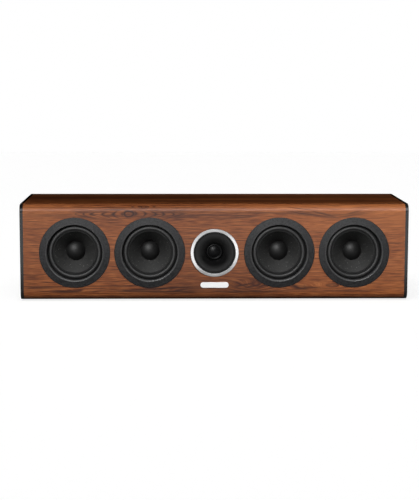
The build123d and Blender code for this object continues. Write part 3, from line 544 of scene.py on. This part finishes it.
lacquerLook = {
    "dark": srgb(16, 16, 17), "light": srgb(24, 24, 25),
    "grain": 700.0, "roughness": (0.30, 0.38),
    "coat": 0.9,
    "coatRoughness": 0.16,
    "bump": 0.03,
}
dressPlain("satin_lacquer", lacquerLook, "left_side_panel", "right_side_panel", "rear_panel")

boardLook = {
    "dark": srgb(126, 98, 66), "light": srgb(160, 130, 92),
    "grain": 420.0, "roughness": (0.75, 0.9), "bump": 0.25,
}
dressPlain("bare_board", boardLook, "chamber_dividers")

footLook = {
    "dark": srgb(20, 20, 20), "light": srgb(34, 34, 34),
    "grain": 900.0, "roughness": (0.6, 0.8), "bump": 0.2,
}
dressPlain("foot_rubber", footLook, "rubber_feet")

badgeLook = {
    "dark": srgb(240, 240, 241), "light": srgb(253, 253, 253),
    "grain": 60.0,
    "stretch": (1, 1, 60),
    "roughness": (0.30, 0.40),
    "metallic": 0.15,
    "bump": 0.05,
}
dressPlain("badge_metal", badgeLook, "badge_plate")
print("cabinet: veneer, lacquer, board, feet and badge")

# woofers
trimLook = {
    "dark": srgb(12, 12, 13), "light": srgb(50, 50, 51),
    "grain": 330.0, "roughness": (0.5, 0.7),
    "specular": 0.35,
    "bump": 0.9,
    "relief": 0.0008,
    "lip": srgb(84, 84, 84),
    "lipEdge": (0.0608, 0.0618),
    "lipRoughness": 0.32,
    "lipHighlightShare": 0.55,  # the lip is painted paler than the grained face, a painted highlight
}


def makeTrim(look):
    material, tree, shader = grainyFinish("grained_trim", look)
    radius = useGroup(tree, turnedGroup, wooferAxis)["Radius"]
    onLip = remap(tree, radius, *look["lipEdge"], 1.0, 0.0)
    sockets = {0: onLip, 2: fedBy(shader, "Roughness"), 3: look["lipRoughness"]}
    feed(tree, shader, "Roughness", put(tree, "ShaderNodeMix", sockets).outputs[0])
    # painted highlight: the lip is painted paler
    paintOver(tree, shader, calc(tree, "MULTIPLY", onLip, look["lipHighlightShare"]), look["lip"])
    return material


dress(makeTrim(trimLook), *[name + "_trim_ring" for name in wooferNames])

coneLook = {
    "dark": srgb(28, 28, 28), "light": srgb(44, 44, 43),
    "grain": 260.0, "roughness": (0.62, 0.78),
    "specular": 0.35,
    "bump": 0.15,
    "fleck": srgb(120, 120, 118),  # pale fibres in the pulp
    "fleckScale": 420.0,
    "fleckRange": (0.70, 0.76, 0.0, 0.8),
}


def makeConePaper(look):
    material, tree, shader = grainyFinish("cone_paper", look)
    place = put(tree, "ShaderNodeTexCoord").outputs["Object"]
    sockets = {"Vector": place, "Scale": look["fleckScale"], "Detail": 1.0}
    pulp = put(tree, "ShaderNodeTexNoise", sockets).outputs[0]
    paintOver(tree, shader, remap(tree, pulp, *look["fleckRange"]), look["fleck"])
    return material


dress(makeConePaper(coneLook), *[name + "_cone" for name in wooferNames])

capLook = {
    "dark": srgb(10, 10, 10), "light": srgb(15, 15, 15),
    "grain": 600.0, "roughness": (0.50, 0.58),
    "specular": 0.45,
    "bump": 0.06,
}
dressPlain("dust_cap_cloth", capLook, *[name + "_dust_cap" for name in wooferNames])

rollLook = {
    "dark": srgb(36, 36, 36), "light": srgb(42, 42, 42),
    "grain": 800.0, "roughness": (0.46, 0.52),
    "specular": 0.5,
    "bump": 0.05,
    "glue": srgb(6, 6, 6),  # the outer flange, deep in the groove, is painted near-black as painted shade; both flanges are matt
    "rollEdge": (0.0550, 0.0560),
    "coneEdge": (0.0465, 0.0470),
}


def makeRollRubber(look):
    material, tree, shader = grainyFinish("surround_rubber", look)
    radius = useGroup(tree, turnedGroup, wooferAxis)["Radius"]
    outerFlangeShade = remap(tree, radius, *look["rollEdge"], 0.0, 1.0)
    inside = remap(tree, radius, *look["coneEdge"], 1.0, 0.0)
    # painted shade: the outer flange is painted near-black
    paintOver(tree, shader, outerFlangeShade, look["glue"])
    roughen(tree, shader, calc(tree, "MAXIMUM", outerFlangeShade, inside))
    return material


spiderLook = {
    "dark": srgb(150, 118, 52), "light": srgb(190, 156, 84),
    "grain": 1200.0, "roughness": (0.8, 0.9), "bump": 0.2,
}

castLook = {
    "dark": srgb(34, 34, 36), "light": srgb(50, 50, 52),
    "grain": 500.0, "roughness": (0.5, 0.65), "bump": 0.3,
}
dressPlain("cast_basket", castLook, *[name + "_basket" for name in wooferNames])

platedLook = {
    "dark": srgb(150, 148, 140), "light": srgb(188, 186, 178),
    "grain": 120.0, "roughness": (0.28, 0.42),
    "metallic": 1.0,
    "bump": 0.05,
}
plates = ("woofer_top_plates", "woofer_yokes", "tweeter_top_plate", "tweeter_yoke")
dressPlain("plated_steel", platedLook, *plates)

ferriteLook = {
    "dark": srgb(40, 40, 42), "light": srgb(58, 58, 60),
    "grain": 700.0, "roughness": (0.6, 0.75), "bump": 0.3,
}
dressPlain("ferrite", ferriteLook, "woofer_magnets", "tweeter_magnet")

coilLook = {
    "dark": srgb(150, 78, 36), "light": srgb(202, 122, 66),
    "grain": 40.0,
    "stretch": (1, 60, 1),
    "roughness": (0.25, 0.4),
    "metallic": 1.0,
    "bump": 0.2,
}
coils = [name + "_voice_coil" for name in wooferNames] + ["tweeter_coil", "crossover_inductors"]
dressPlain("wound_copper", coilLook, *coils)
print("woofers: trim, cones, caps, baskets and motors")


# rolled sheets: surrounds and spiders follow one rule
surroundSizes = {
    "Start Radius": 0.0465,
    "Wave Width": 0.010,
    "Wave Height": 0.005,
    "Roundness": 1.0,
    "Half Waves": 1,
    "Inner Flat": 0.0025,
    "Outer Flat": 0.0020,
    "Steps Around": 240,
    "Steps Across": 16,
}
# the stretch is what gives way, from the moving edge to the frame
surroundFit = {"behind": 0.014, "wall": 0.001, "stretch": (0.0468, 0.0562)}
spiderSizes = {
    "Start Radius": 0.0187,
    "Wave Width": 0.0193 / 6,
    "Wave Height": 0.0012,
    "Roundness": 0.0,
    "Half Waves": 6,
    "Inner Flat": 0.0025,
    "Outer Flat": 0.0054,
    "Steps Around": 120,
    "Steps Across": 8,
}
spiderFit = {"behind": 0.0512, "wall": 0.0007, "stretch": (0.0190, 0.0378)}


def makeRolledTree():
    inputs = {"Centre": (0, 0, 0), **surroundSizes, "Finish": "NodeSocketMaterial"}
    tree, given, result = startGroup("rolledSheet", "GeometryNodeTree", inputs, ["Geometry"])
    times, minus, larger, timesPlus = maths(tree)
    plus = partial(calc, tree, "ADD")
    smaller = partial(calc, tree, "MINIMUM")
    waves = given["Half Waves"]
    spans = plus(waves, 2.0)  # the waves and a flat on each side
    rows = timesPlus(spans, given["Steps Across"], 1.0)
    columns = plus(given["Steps Around"], 1.0)
    sockets = {"Size X": 1.0, "Size Y": 1.0, "Vertices X": columns, "Vertices Y": rows}
    grid = put(tree, "GeometryNodeMeshGrid", sockets).outputs[0]
    position = put(tree, "GeometryNodeInputPosition").outputs[0]
    spot = put(tree, "ShaderNodeSeparateXYZ", {0: position}).outputs
    angle = timesPlus(spot[0], 2 * math.pi, math.pi)
    step = timesPlus(plus(spot[1], 0.5), spans, -1.0)
    rolled = smaller(larger(step, 0.0), waves)
    wave = calc(tree, "FLOOR", smaller(rolled, minus(waves, 0.001)))
    part = minus(rolled, wave)
    phase = times(part, math.pi)
    arcPart = timesPlus(calc(tree, "COSINE", phase), -0.5, 0.5)
    swing = times(minus(arcPart, part), given["Roundness"])
    radius = timesPlus(plus(plus(wave, part), swing), given["Wave Width"], given["Start Radius"])
    radius = timesPlus(smaller(step, 0.0), given["Inner Flat"], radius)
    radius = timesPlus(larger(minus(step, waves), 0.0), given["Outer Flat"], radius)
    turn = timesPlus(calc(tree, "MODULO", wave, 2.0), 2.0, -1.0)
    rise = times(calc(tree, "SINE", phase), times(turn, given["Wave Height"]))
    x = times(radius, calc(tree, "COSINE", angle))
    z = times(radius, calc(tree, "SINE", angle))
    place = put(tree, "ShaderNodeCombineXYZ", {0: x, 1: rise, 2: z}).outputs[0]
    moved = put(tree, "ShaderNodeVectorMath", {0: place, 1: given["Centre"]}, operation="ADD").outputs[0]
    shaped = put(tree, "GeometryNodeSetPosition", {"Geometry": grid, "Position": moved}).outputs[0]
    closed = put(tree, "GeometryNodeMergeByDistance", {"Geometry": shaped, "Distance": 1e-6}).outputs[0]
    smooth = put(tree, "GeometryNodeSetShadeSmooth", {"Geometry": closed}).outputs[0]
    return endTree(tree, smooth, given["Finish"], result)


rolledTree = makeRolledTree()


def addObject(name, data):
    holder = bpy.data.objects.new(name, data)
    scene.collection.objects.link(holder)
    return holder


def growPiece(name, tree, values, startMesh=None, thickness=0.0):
    # runs a geometry tree once and keeps its result as a plain mesh
    maker = addObject(name + "_maker", startMesh or bpy.data.meshes.new(name + "_start"))
    modifier = maker.modifiers.new("shape", "NODES")
    modifier.node_group = tree
    for item in tree.interface.items_tree:
        if item.item_type == "SOCKET" and item.in_out == "INPUT" and item.name in values:
            modifier[item.identifier] = values[item.name]
    bpy.context.view_layer.update()
    grown = maker.evaluated_get(bpy.context.evaluated_depsgraph_get())
    mesh = bpy.data.meshes.new_from_object(grown)
    bpy.data.objects.remove(maker)
    mesh.name = name
    if thickness:
        thicken(mesh, thickness)
    return addObject(name, mesh)


def thicken(mesh, thickness):
    # the sheet is the front skin, and its wall grows towards the back
    work = bmesh.new()
    work.from_mesh(mesh)
    bmesh.ops.recalc_face_normals(work, faces=work.faces)
    frontward = sum(face.normal.y * face.calc_area() for face in work.faces)
    if frontward > 0:
        bmesh.ops.reverse_faces(work, faces=work.faces)
    bmesh.ops.solidify(work, geom=work.faces[:], thickness=thickness)
    bmesh.ops.recalc_face_normals(work, faces=work.faces)
    work.to_mesh(mesh)
    work.free()


def follow(piece, moving, axisX, inside, outerFlangeShade):
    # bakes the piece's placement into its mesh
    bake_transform(piece)


def rollSheet(name, sizes, fit, finish, x):
    values = {**sizes, "Centre": (x, frontY + fit["behind"], driverZ), "Finish": finish}
    return growPiece(name, rolledTree, values, thickness=fit["wall"])


rollRubber = makeRollRubber(rollLook)
spiderCloth = grainyFinish("spider_cloth", spiderLook)[0]
for name in wooferNames:
    x = wooferX[name]
    roll = rollSheet(name + "_half_roll", surroundSizes, surroundFit, rollRubber, x)
    follow(roll, name + "_motion", x, *surroundFit["stretch"])
    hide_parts(name + "_surround")
    spider = rollSheet(name + "_corrugated_spider", spiderSizes, spiderFit, spiderCloth, x)
    follow(spider, name + "_motion", x, *spiderFit["stretch"])
    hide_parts("woofer_spiders")
print("woofers: rolled surrounds and corrugated spiders")

# tweeter
ringLook = {
    "dark": srgb(242, 242, 243), "light": srgb(254, 254, 254),
    "grain": 1500.0, "roughness": (0.38, 0.44),
    "metallic": 1.0,
    "turned": 0.9,
    "bump": 0.02,
    "linePitch": 0.0012,
    "lineLead": 26.0,
    "lineDepth": 0.22,
    "lineShade": srgb(150, 150, 152),
}


def makeMachinedRing(look):
    material, tree, shader = grainyFinish("machined_ring", look)
    sockets = {"Pitch": look["linePitch"], "Lead": look["lineLead"]}
    lines = useGroup(tree, turnedGroup, sockets)["Lines"]
    paintOver(tree, shader, remap(tree, lines, -1.0, 1.0, 0.0, look["lineDepth"]), look["lineShade"])
    around = put(tree, "ShaderNodeTangent", direction_type="RADIAL", axis="Y")
    feed(tree, shader, "Tangent", around.outputs[0])
    shader.inputs["Anisotropic"].default_value = look["turned"]
    return material


dress(makeMachinedRing(ringLook), "tweeter_ring")

hornLook = {
    "dark": srgb(13, 13, 13), "light": srgb(18, 18, 18),
    "grain": 900.0, "roughness": (0.40, 0.46),
    "specular": 0.54,
    "bump": 0.08,
    "flare": (0.026, 0.034),  # the mould's texture is coarser towards the rim
    "flareRoughness": (0.38, 0.64),
    "rim": (0.0345, 0.0405),
    "rimRoughness": 0.80,
}


def makeHorn(look):
    material, tree, shader = grainyFinish("horn_plastic", look)
    radius = useGroup(tree, turnedGroup)["Radius"]
    flare = remap(tree, radius, *look["flare"], *look["flareRoughness"], True)
    rim = remap(tree, radius, *look["rim"], 0.0, look["rimRoughness"], True)
    roughen(tree, shader, calc(tree, "MAXIMUM", flare, rim))
    return material


dress(makeHorn(hornLook), "tweeter_horn")

domeLook = {
    "dark": srgb(9, 9, 10), "light": srgb(15, 15, 16),
    "grain": 1500.0, "roughness": (0.36, 0.42),
    "specular": 0.16,
    "weavePitch": 0.0007,
    "weaveBump": 0.1,
    "weaveRelief": 0.0001,
}


def makeDomeCloth(look):
    material, tree, shader = grainyFinish("dome_cloth", look)
    weave = useGroup(tree, weaveGroup, {"Pitch": look["weavePitch"]})["Height"]
    bumpInto(tree, shader, weave, look["weaveBump"], look["weaveRelief"])
    return material


domeShape = {
    "radius": 0.0125,
    "height": 0.0042,
    "rollOuter": 0.017,
    "rollHeight": 0.002,
    "flange": 0.021,
    "base": 0.0173,  # behind the front face
    "wall": 0.0005,
    "flangeWall": 0.0007,
    "stepsAround": 160,
    "stepsAcross": 20,
}


def revolve(work, profile, centre, steps, smooth):
    # turns (radius, depth) points about the Y axis through the centre
    pole = 1e-7
    rows = []
    for radius, depth in profile:
        row = []
        for index in range(steps if radius > pole else 1):
            angle = 2 * math.pi * index / steps
            x, z = radius * math.cos(angle), radius * math.sin(angle)
            row.append(work.verts.new((centre.x + x, centre.y + depth, centre.z + z)))
        rows.append(row if radius > pole else row * steps)
    for first, second in zip(rows, rows[1:]):
        for index in range(steps):
            after = (index + 1) % steps
            corners = [first[index], first[after], second[after], second[index]]
            corners = [v for n, v in enumerate(corners) if v not in corners[:n]]
            if len(corners) > 2:
                work.faces.new(corners).smooth = smooth
    return rows


def meshOf(work, name):
    bmesh.ops.recalc_face_normals(work, faces=work.faces)
    mesh = bpy.data.meshes.new(name)
    work.to_mesh(mesh)
    work.free()
    return mesh


def domeProfile(shape):
    steps = shape["stepsAcross"]

    def skin(behind, taller):
        radius, height = shape["radius"], shape["height"] + taller
        base, rollHeight = shape["base"] + behind, shape["rollHeight"] + taller
        sphere = (radius**2 + height**2) / (2 * height)
        tilt = math.asin(radius / sphere)
        cap = [tilt * n / steps for n in range(steps + 1)]
        points = [(sphere * math.sin(a), base - height + sphere * (1 - math.cos(a))) for a in cap]
        half = (shape["rollOuter"] - radius) / 2
        for n in range(1, steps + 1):
            a = math.pi * n / steps
            points.append((radius + half * (1 - math.cos(a)), base - rollHeight * math.sin(a)))
        return points + [(shape["flange"], base)]

    front = skin(0.0, 0.0)
    rear = skin(shape["flangeWall"], shape["flangeWall"] - shape["wall"])
    return front + rear[::-1]


domeWork = bmesh.new()
tweeterCentre = Vector((0.0, frontY, driverZ))
revolve(domeWork, domeProfile(domeShape), tweeterCentre, domeShape["stepsAround"], True)
dome = addObject("tweeter_soft_dome", meshOf(domeWork, "tweeter_soft_dome"))
dome.data.materials.append(makeDomeCloth(domeLook))
follow(dome, "tweeter_motion", 0.0, domeShape["radius"], domeShape["rollOuter"])
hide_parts("tweeter_dome")
print("tweeter: ring, horn and dome")

# rear fittings
portLook = {
    "dark": srgb(20, 20, 21), "light": srgb(28, 28, 29),
    "grain": 900.0, "roughness": (0.42, 0.52), "bump": 0.1,
}
dressPlain("port_plastic", portLook, "left_port", "right_port", "terminal_cup")

brassLook = {
    "dark": srgb(196, 150, 70), "light": srgb(226, 186, 106),
    "grain": 200.0, "roughness": (0.18, 0.28),
    "metallic": 1.0,
    "bump": 0.02,
}
dressPlain("post_brass", brassLook, "binding_posts", "red_collar", "black_collar")

redLook = {
    "dark": srgb(140, 14, 14), "light": srgb(164, 22, 20),
    "grain": 500.0, "roughness": (0.28, 0.36), "bump": 0.04,
}
dressPlain("red_plastic", redLook, "red_cap")

blackLook = {**redLook, "dark": srgb(18, 18, 18), "light": srgb(26, 26, 26)}
dressPlain("black_plastic", blackLook, "black_cap")

steelLook = {
    "dark": srgb(30, 30, 32), "light": srgb(52, 52, 54),
    "grain": 900.0, "roughness": (0.3, 0.42),
    "metallic": 1.0,
    "bump": 0.05,
}
screwSteel = grainyFinish("screw_steel", steelLook)[0]


def makeScrewTree():
    # one screw on every point, facing as the point says, each stopped at its own turn
    inputs = {
        "Points": "NodeSocketGeometry",
        "Screw": "NodeSocketObject",
        "Seed": 5,
        "Finish": "NodeSocketMaterial",
    }
    tree, given, result = startGroup("screwsOnPoints", "GeometryNodeTree", inputs, ["Geometry"])
    screw = put(tree, "GeometryNodeObjectInfo", {"Object": given["Screw"]}).outputs["Geometry"]
    facing = put(tree, "GeometryNodeInputNamedAttribute", {"Name": "facing"}, data_type="FLOAT").outputs[0]
    sockets = {"Max": 2 * math.pi, "Seed": given["Seed"]}
    turns = put(tree, "FunctionNodeRandomValue", sockets, data_type="FLOAT")
    spin = next(output for output in turns.outputs if output.enabled)
    euler = put(tree, "ShaderNodeCombineXYZ", {1: spin, 2: facing}).outputs[0]
    sockets = {"Points": given["Points"], "Instance": screw, "Rotation": euler}
    placed = put(tree, "GeometryNodeInstanceOnPoints", sockets).outputs[0]
    return endTree(tree, placed, given["Finish"], result)


def screwMesh(name, look):
    # a countersunk screw along +Y, its head flush at the origin with a cross recess in it
    work = bmesh.new()
    head, shank, length = look["head"], look["shank"], look["length"]
    tipRadius = shank * look["tipShare"]
    sectionLine = [(head, 0.0), (shank, head - shank), (shank, length - look["tip"]), (tipRadius, length)]
    rows = revolve(work, sectionLine, Vector(), look["sides"], False)
    work.faces.new(rows[-1])
    reach, half = look["recess"], look["slot"] / 2
    arm = [(reach, -half), (reach, half), (half, half)]
    cross = []
    for quarter in range(4):
        cross += arm
        arm = [(-z, x) for x, z in arm]
    taper = look["recessTaper"]
    mouth = [work.verts.new((x, 0.0, z)) for x, z in cross]
    bottom = [work.verts.new((x * taper, look["recessDepth"], z * taper)) for x, z in cross]
    for n in range(len(cross)):
        after = (n + 1) % len(cross)
        work.faces.new((mouth[n], mouth[after], bottom[after], bottom[n]))
    work.faces.new(bottom)
    rim = [work.edges.get((a, b)) for ring in (rows[0], mouth) for a, b in zip(ring, ring[1:] + ring[:1])]
    bmesh.ops.triangle_fill(work, edges=rim, use_beauty=True)
    return meshOf(work, name)


def driveScrews(name, look, places, replaced):
    points = bpy.data.meshes.new(name + "_points")
    points.from_pydata([spot for spot, facing in places], [], [])
    facings = points.attributes.new("facing", "FLOAT", "POINT")
    facings.data.foreach_set("value", [facing for spot, facing in places])
    screw = addObject(name + "_one", screwMesh(name + "_one", look))
    values = {"Screw": screw, "Seed": look["seed"], "Finish": screwSteel}
    piece = growPiece(name, screwTree, values, startMesh=points)
    bpy.data.objects.remove(screw)
    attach(piece, "cabinet")
    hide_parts(replaced)


screwTree = makeScrewTree()
wooferScrew = {
    "head": 0.004,
    "shank": 0.002,
    "length": 0.016,
    "tip": 0.002,
    "tipShare": 0.3,
    "recess": 0.0021,
    "slot": 0.0009,
    "recessDepth": 0.0014,
    "recessTaper": 0.7,
    "sides": 32,
    "seed": 11,
    "behind": 0.005,
    "count": 6,
    "firstAngle": 30.0,
}
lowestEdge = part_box("woofer_screws")[0].z
wooferScrew["circle"] = middleOf("woofer_screws").z - lowestEdge - wooferScrew["head"]
smallScrew = {
    **wooferScrew,
    "head": 0.0026,
    "shank": 0.0015,
    "length": 0.014,
    "recess": 0.0016,
    "slot": 0.0007,
    "recessDepth": 0.0010,
    "sides": 28,
    "seed": 7,
    "behind": 0.0015,
    "circle": 0.04735,
    "count": 4,
    "firstAngle": 45.0,
    "cupGrid": (0.112, 0.074),
}


def onCircle(look, x):
    spots = []
    for n in range(look["count"]):
        angle = math.radians(look["firstAngle"] + 360 * n / look["count"])
        across, up = look["circle"] * math.cos(angle), look["circle"] * math.sin(angle)
        spots.append(((x + across, frontY + look["behind"], driverZ + up), 0.0))
    return spots


wooferSpots = [spot for name in wooferNames for spot in onCircle(wooferScrew, wooferX[name])]
driveScrews("woofer_cross_screws", wooferScrew, wooferSpots, "woofer_screws")
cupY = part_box("small_screws")[1].y
cupX, cupZ = (spacing / 2 for spacing in smallScrew["cupGrid"])
cupSpots = [((sx * cupX, cupY, driverZ + sz * cupZ), math.pi) for sx in (-1, 1) for sz in (-1, 1)]
driveScrews("small_cross_screws", smallScrew, onCircle(smallScrew, 0.0) + cupSpots, "small_screws")

# crossover
greenLook = {
    "dark": srgb(20, 70, 40), "light": srgb(34, 96, 56),
    "grain": 150.0, "roughness": (0.35, 0.5), "bump": 0.05,
}
dressPlain("circuit_board", greenLook, "crossover_board")

nylonLook = {
    "dark": srgb(206, 202, 190), "light": srgb(226, 222, 210),
    "grain": 300.0, "roughness": (0.45, 0.55), "bump": 0.03,
}
dressPlain("spacer_nylon", nylonLook, "board_spacers")

filmLook = {
    "dark": srgb(168, 128, 36), "light": srgb(196, 154, 56),
    "grain": 80.0, "roughness": (0.25, 0.35), "bump": 0.02,
}
dressPlain("capacitor_film", filmLook, "crossover_capacitors")

cementLook = {
    "dark": srgb(206, 202, 192), "light": srgb(228, 226, 218),
    "grain": 900.0, "roughness": (0.8, 0.9), "bump": 0.3,
}
dressPlain("resistor_cement", cementLook, "crossover_resistors")

sleeveLook = {
    "dark": srgb(24, 24, 26), "light": srgb(38, 38, 40),
    "grain": 700.0, "roughness": (0.4, 0.5), "bump": 0.03,
}
dressPlain("lead_sleeve", sleeveLook, "hookup_leads")
print("rear fittings and crossover")

# stage, light and camera
stageLook = {
    "size": 10.0,
    "albedo": (0.14, 0.30),  # to glossy rays and to the camera
    "white": 0.80,  # the floor's own share where the camera looks at it
    "mirrored": 0.95,  # and where glossy and transmission rays do, away from the cabinet
    "shade": (0.02, 0.70),  # how far from the cabinet its shade on the floor begins to clear, and is gone
    "sides": (0.55, 1.10),  # where the mirrored floor darkens to the left and right
    "sideLevel": 0.15,
    "horizon": (-0.01, 0.0),  # the world below it goes on as the mirrored floor
    "ambient": (-0.1, 0.1, 0.012, 0.006),  # a little more from below than from above
    "studio": (0.35, 0.85, 0.0, 0.025),  # what glossy rays see overhead, with a dark band below it
}


def seenBy(tree):
    path = put(tree, "ShaderNodeLightPath").outputs
    mirrored = calc(tree, "MAXIMUM", path["Is Glossy Ray"], path["Is Transmission Ray"])
    return path["Is Camera Ray"], mirrored


def makeFloor(look):
    half = look["size"] / 2
    mesh = bpy.data.meshes.new("studio_floor")
    corners = [(-half, -half, 0), (half, -half, 0), (half, half, 0), (-half, half, 0)]
    mesh.from_pydata(corners, [], [(0, 1, 2, 3)])
    floor = addObject("studio_floor", mesh)
    material = bpy.data.materials.new("pale_floor")
    tree = emptyTree(material)
    times, minus, larger, timesPlus = maths(tree)
    camera, mirrored = seenBy(tree)
    place = splitPlace(tree)
    fromMiddle = [calc(tree, "ABSOLUTE", place[axis]) for axis in (0, 1)]
    besideX, besideY = (larger(minus(fromMiddle[axis], cadBox[1][axis]), 0.0) for axis in (0, 1))
    away = calc(tree, "SQRT", timesPlus(besideX, besideX, times(besideY, besideY)))
    clear = remap(tree, away, *look["shade"], 0.0, look["mirrored"], True)
    toSides = remap(tree, fromMiddle[0], *look["sides"], 1.0, look["sideLevel"], True)
    mirrorGlow = times(mirrored, times(clear, toSides))
    glow = larger(times(camera, look["white"]), mirrorGlow)
    matte = put(tree, "ShaderNodeBsdfDiffuse", {"Color": remap(tree, camera, 0.0, 1.0, *look["albedo"])})
    light = put(tree, "ShaderNodeEmission", {"Strength": glow})
    both = put(tree, "ShaderNodeAddShader", {0: matte.outputs[0], 1: light.outputs[0]})
    put(tree, "ShaderNodeOutputMaterial", {"Surface": both.outputs[0]})
    mesh.materials.append(material)
    floor.visible_diffuse = False  # its bounce is the world's ground level
    return floor


def makeWorld(look):
    scene.world = bpy.data.worlds.new("studio")
    tree = emptyTree(scene.world)
    times, minus, larger, timesPlus = maths(tree)
    camera, mirrored = seenBy(tree)
    direction = put(tree, "ShaderNodeTexCoord").outputs["Generated"]
    rise = put(tree, "ShaderNodeSeparateXYZ", {0: direction}).outputs[2]
    ground = remap(tree, rise, *look["horizon"], look["mirrored"], 0.0)
    backdrop = calc(tree, "ADD", ground, remap(tree, rise, *look["studio"], True))
    lit = times(minus(1.0, mirrored), remap(tree, rise, *look["ambient"], True))
    strength = larger(camera, timesPlus(mirrored, backdrop, lit))
    background = put(tree, "ShaderNodeBackground", {"Color": (1, 1, 1, 1), "Strength": strength})
    put(tree, "ShaderNodeOutputWorld", {"Surface": background.outputs[0]})


floor = makeFloor(stageLook)
makeWorld(stageLook)

meshes = [o for o in scene.objects if o.type == "MESH"]


def named(*endings):
    return [o for o in meshes if o.name.endswith(endings)]


def shineOn(holder, look):
    # a lamp lights the pieces that its look names, or all where it names none
    if "lights" in look:
        group = bpy.data.collections.new(holder.name + "_lit")
        for piece in look["lights"]:
            group.objects.link(piece)
        holder.light_linking.receiver_collection = group


def areaLight(name, look):
    lamp = bpy.data.lights.new(name, "AREA")
    lamp.shape = "RECTANGLE"
    lamp.size, lamp.size_y = look["size"]
    lamp.energy = look["watts"]
    holder = addObject(name, lamp)
    place, aim = Vector(look["place"]), Vector(look["aim"])
    holder.location = place
    holder.rotation_euler = (aim - place).to_track_quat("-Z", "Y").to_euler()
    holder.visible_camera = False
    holder.visible_diffuse = look.get("diffuse", True)
    holder.visible_glossy = look.get("glossy", True)
    shineOn(holder, look)


def sunLight(name, look):
    lamp = bpy.data.lights.new(name, "SUN")
    lamp.energy = look["strength"]
    lamp.angle = math.radians(look["width"])
    holder = addObject(name, lamp)
    rise, side = math.radians(look["elevation"]), math.radians(look["azimuth"])
    towards = Vector((math.sin(side) * math.cos(rise), -math.cos(side) * math.cos(rise), math.sin(rise)))
    holder.rotation_euler = (-towards).to_track_quat("-Z", "Y").to_euler()
    shineOn(holder, look)


cones = named("_cone")
trims = named("_trim_ring")
rolls = named("_half_roll")
domes = named("soft_dome", "_dust_cap")
horn = named("tweeter_horn")
cabinet = [o for o in meshes if o not in cones + trims + rolls + domes + horn + [floor]]
rearNames = ["rear_panel", "left_port", "right_port", "terminal_cup", "binding_posts"]
rearNames += [colour + part for colour in ("red", "black") for part in ("_collar", "_cap")]

floorSun = {"lights": [floor], "elevation": 62.0, "azimuth": -12.0, "width": 50.0, "strength": 2.2}
sunLight("floor_sun", floorSun)
overhead = {
    "place": (0.0, -0.2, 2.2),
    "aim": (0.0, -0.2, 0.0),
    "size": (3.0, 2.4),
    "watts": 4.0,
    "glossy": False,
}
areaLight("overhead", overhead)
frontKey = {
    "lights": cabinet,
    "place": (0.35, -1.80, 0.98),
    "aim": (0.0, -0.12, 0.15),
    "size": (2.6, 0.30),
    "watts": 42.0,
    "glossy": False,
}
areaLight("front_key", frontKey)
sheenStrip = {
    "lights": [o for o in cabinet if o != nodes["top_panel"]],
    "place": (0.60, -1.60, 1.28),
    "aim": (0.0, -0.12, 0.20),
    "size": (5.0, 1.25),
    "watts": 38.0,
    "diffuse": False,
}
areaLight("sheen_strip", sheenStrip)
# the photo's drivers are lit from above on the left, all four alike
driverSun = {"lights": cones + trims, "elevation": 41.0, "azimuth": -11.0, "width": 24.0, "strength": 3.6}
sunLight("driver_sun", driverSun)
domeSun = {"lights": domes, "elevation": 34.0, "azimuth": -22.0, "width": 26.0, "strength": 3.2}
sunLight("dome_sun", domeSun)
rollSun = {"lights": rolls, "elevation": 15.0, "azimuth": -6.0, "width": 26.0, "strength": 2.3}
sunLight("roll_sun", rollSun)
hornSun = {"lights": horn, "elevation": 1.5, "azimuth": 2.0, "width": 18.0, "strength": 2.2}
sunLight("horn_sun", hornSun)
brightMetal = [nodes["tweeter_ring"], nodes["badge_plate"]]
metalSun = {"lights": brightMetal, "elevation": 28.0, "azimuth": -5.0, "width": 44.0, "strength": 0.9}
sunLight("metal_sun", metalSun)
trimStrip = {
    "lights": trims,
    "place": (-0.05, -0.30, 0.50),
    "aim": (-0.05, -0.12, 0.10),
    "size": (1.7, 0.10),
    "watts": 2.2,
}
areaLight("trim_strip", trimStrip)
rearFill = {
    "lights": [nodes[name] for name in rearNames],
    "place": (1.3, 1.9, 0.9),  # and mirrored on the left
    "aim": (0.0, 0.12, 0.10),
    "size": (1.2, 0.9),
    "watts": 45.0,
}
fillX, fillY, fillZ = rearFill["place"]
for side in (-1, 1):
    areaLight(f"rear_fill_{side}", {**rearFill, "place": (side * fillX, fillY, fillZ)})

photoView = {
    "place": (-0.0805, frontY - 2.9832, 0.4986),
    "yaw": 1.338,
    "pitch": 7.433,
    "roll": 0.103,
    "lens": 102.4,
    "sensor": 36.0,  # on the long side
}
lens = bpy.data.cameras.new("photo_view")
lens.lens = photoView["lens"]
lens.sensor_width = photoView["sensor"]
camera = addObject("photo_view", lens)
turn = Matrix.Rotation(-math.radians(photoView["yaw"]), 4, "Z")
tilt = Matrix.Rotation(math.radians(90 - photoView["pitch"]), 4, "X")
roll = Matrix.Rotation(math.radians(photoView["roll"]), 4, "Z")
camera.matrix_world = Matrix.Translation(photoView["place"]) @ turn @ tilt @ roll
scene.camera = camera
print("stage: floor, world, lights and camera")

bpy.context.view_layer.update()
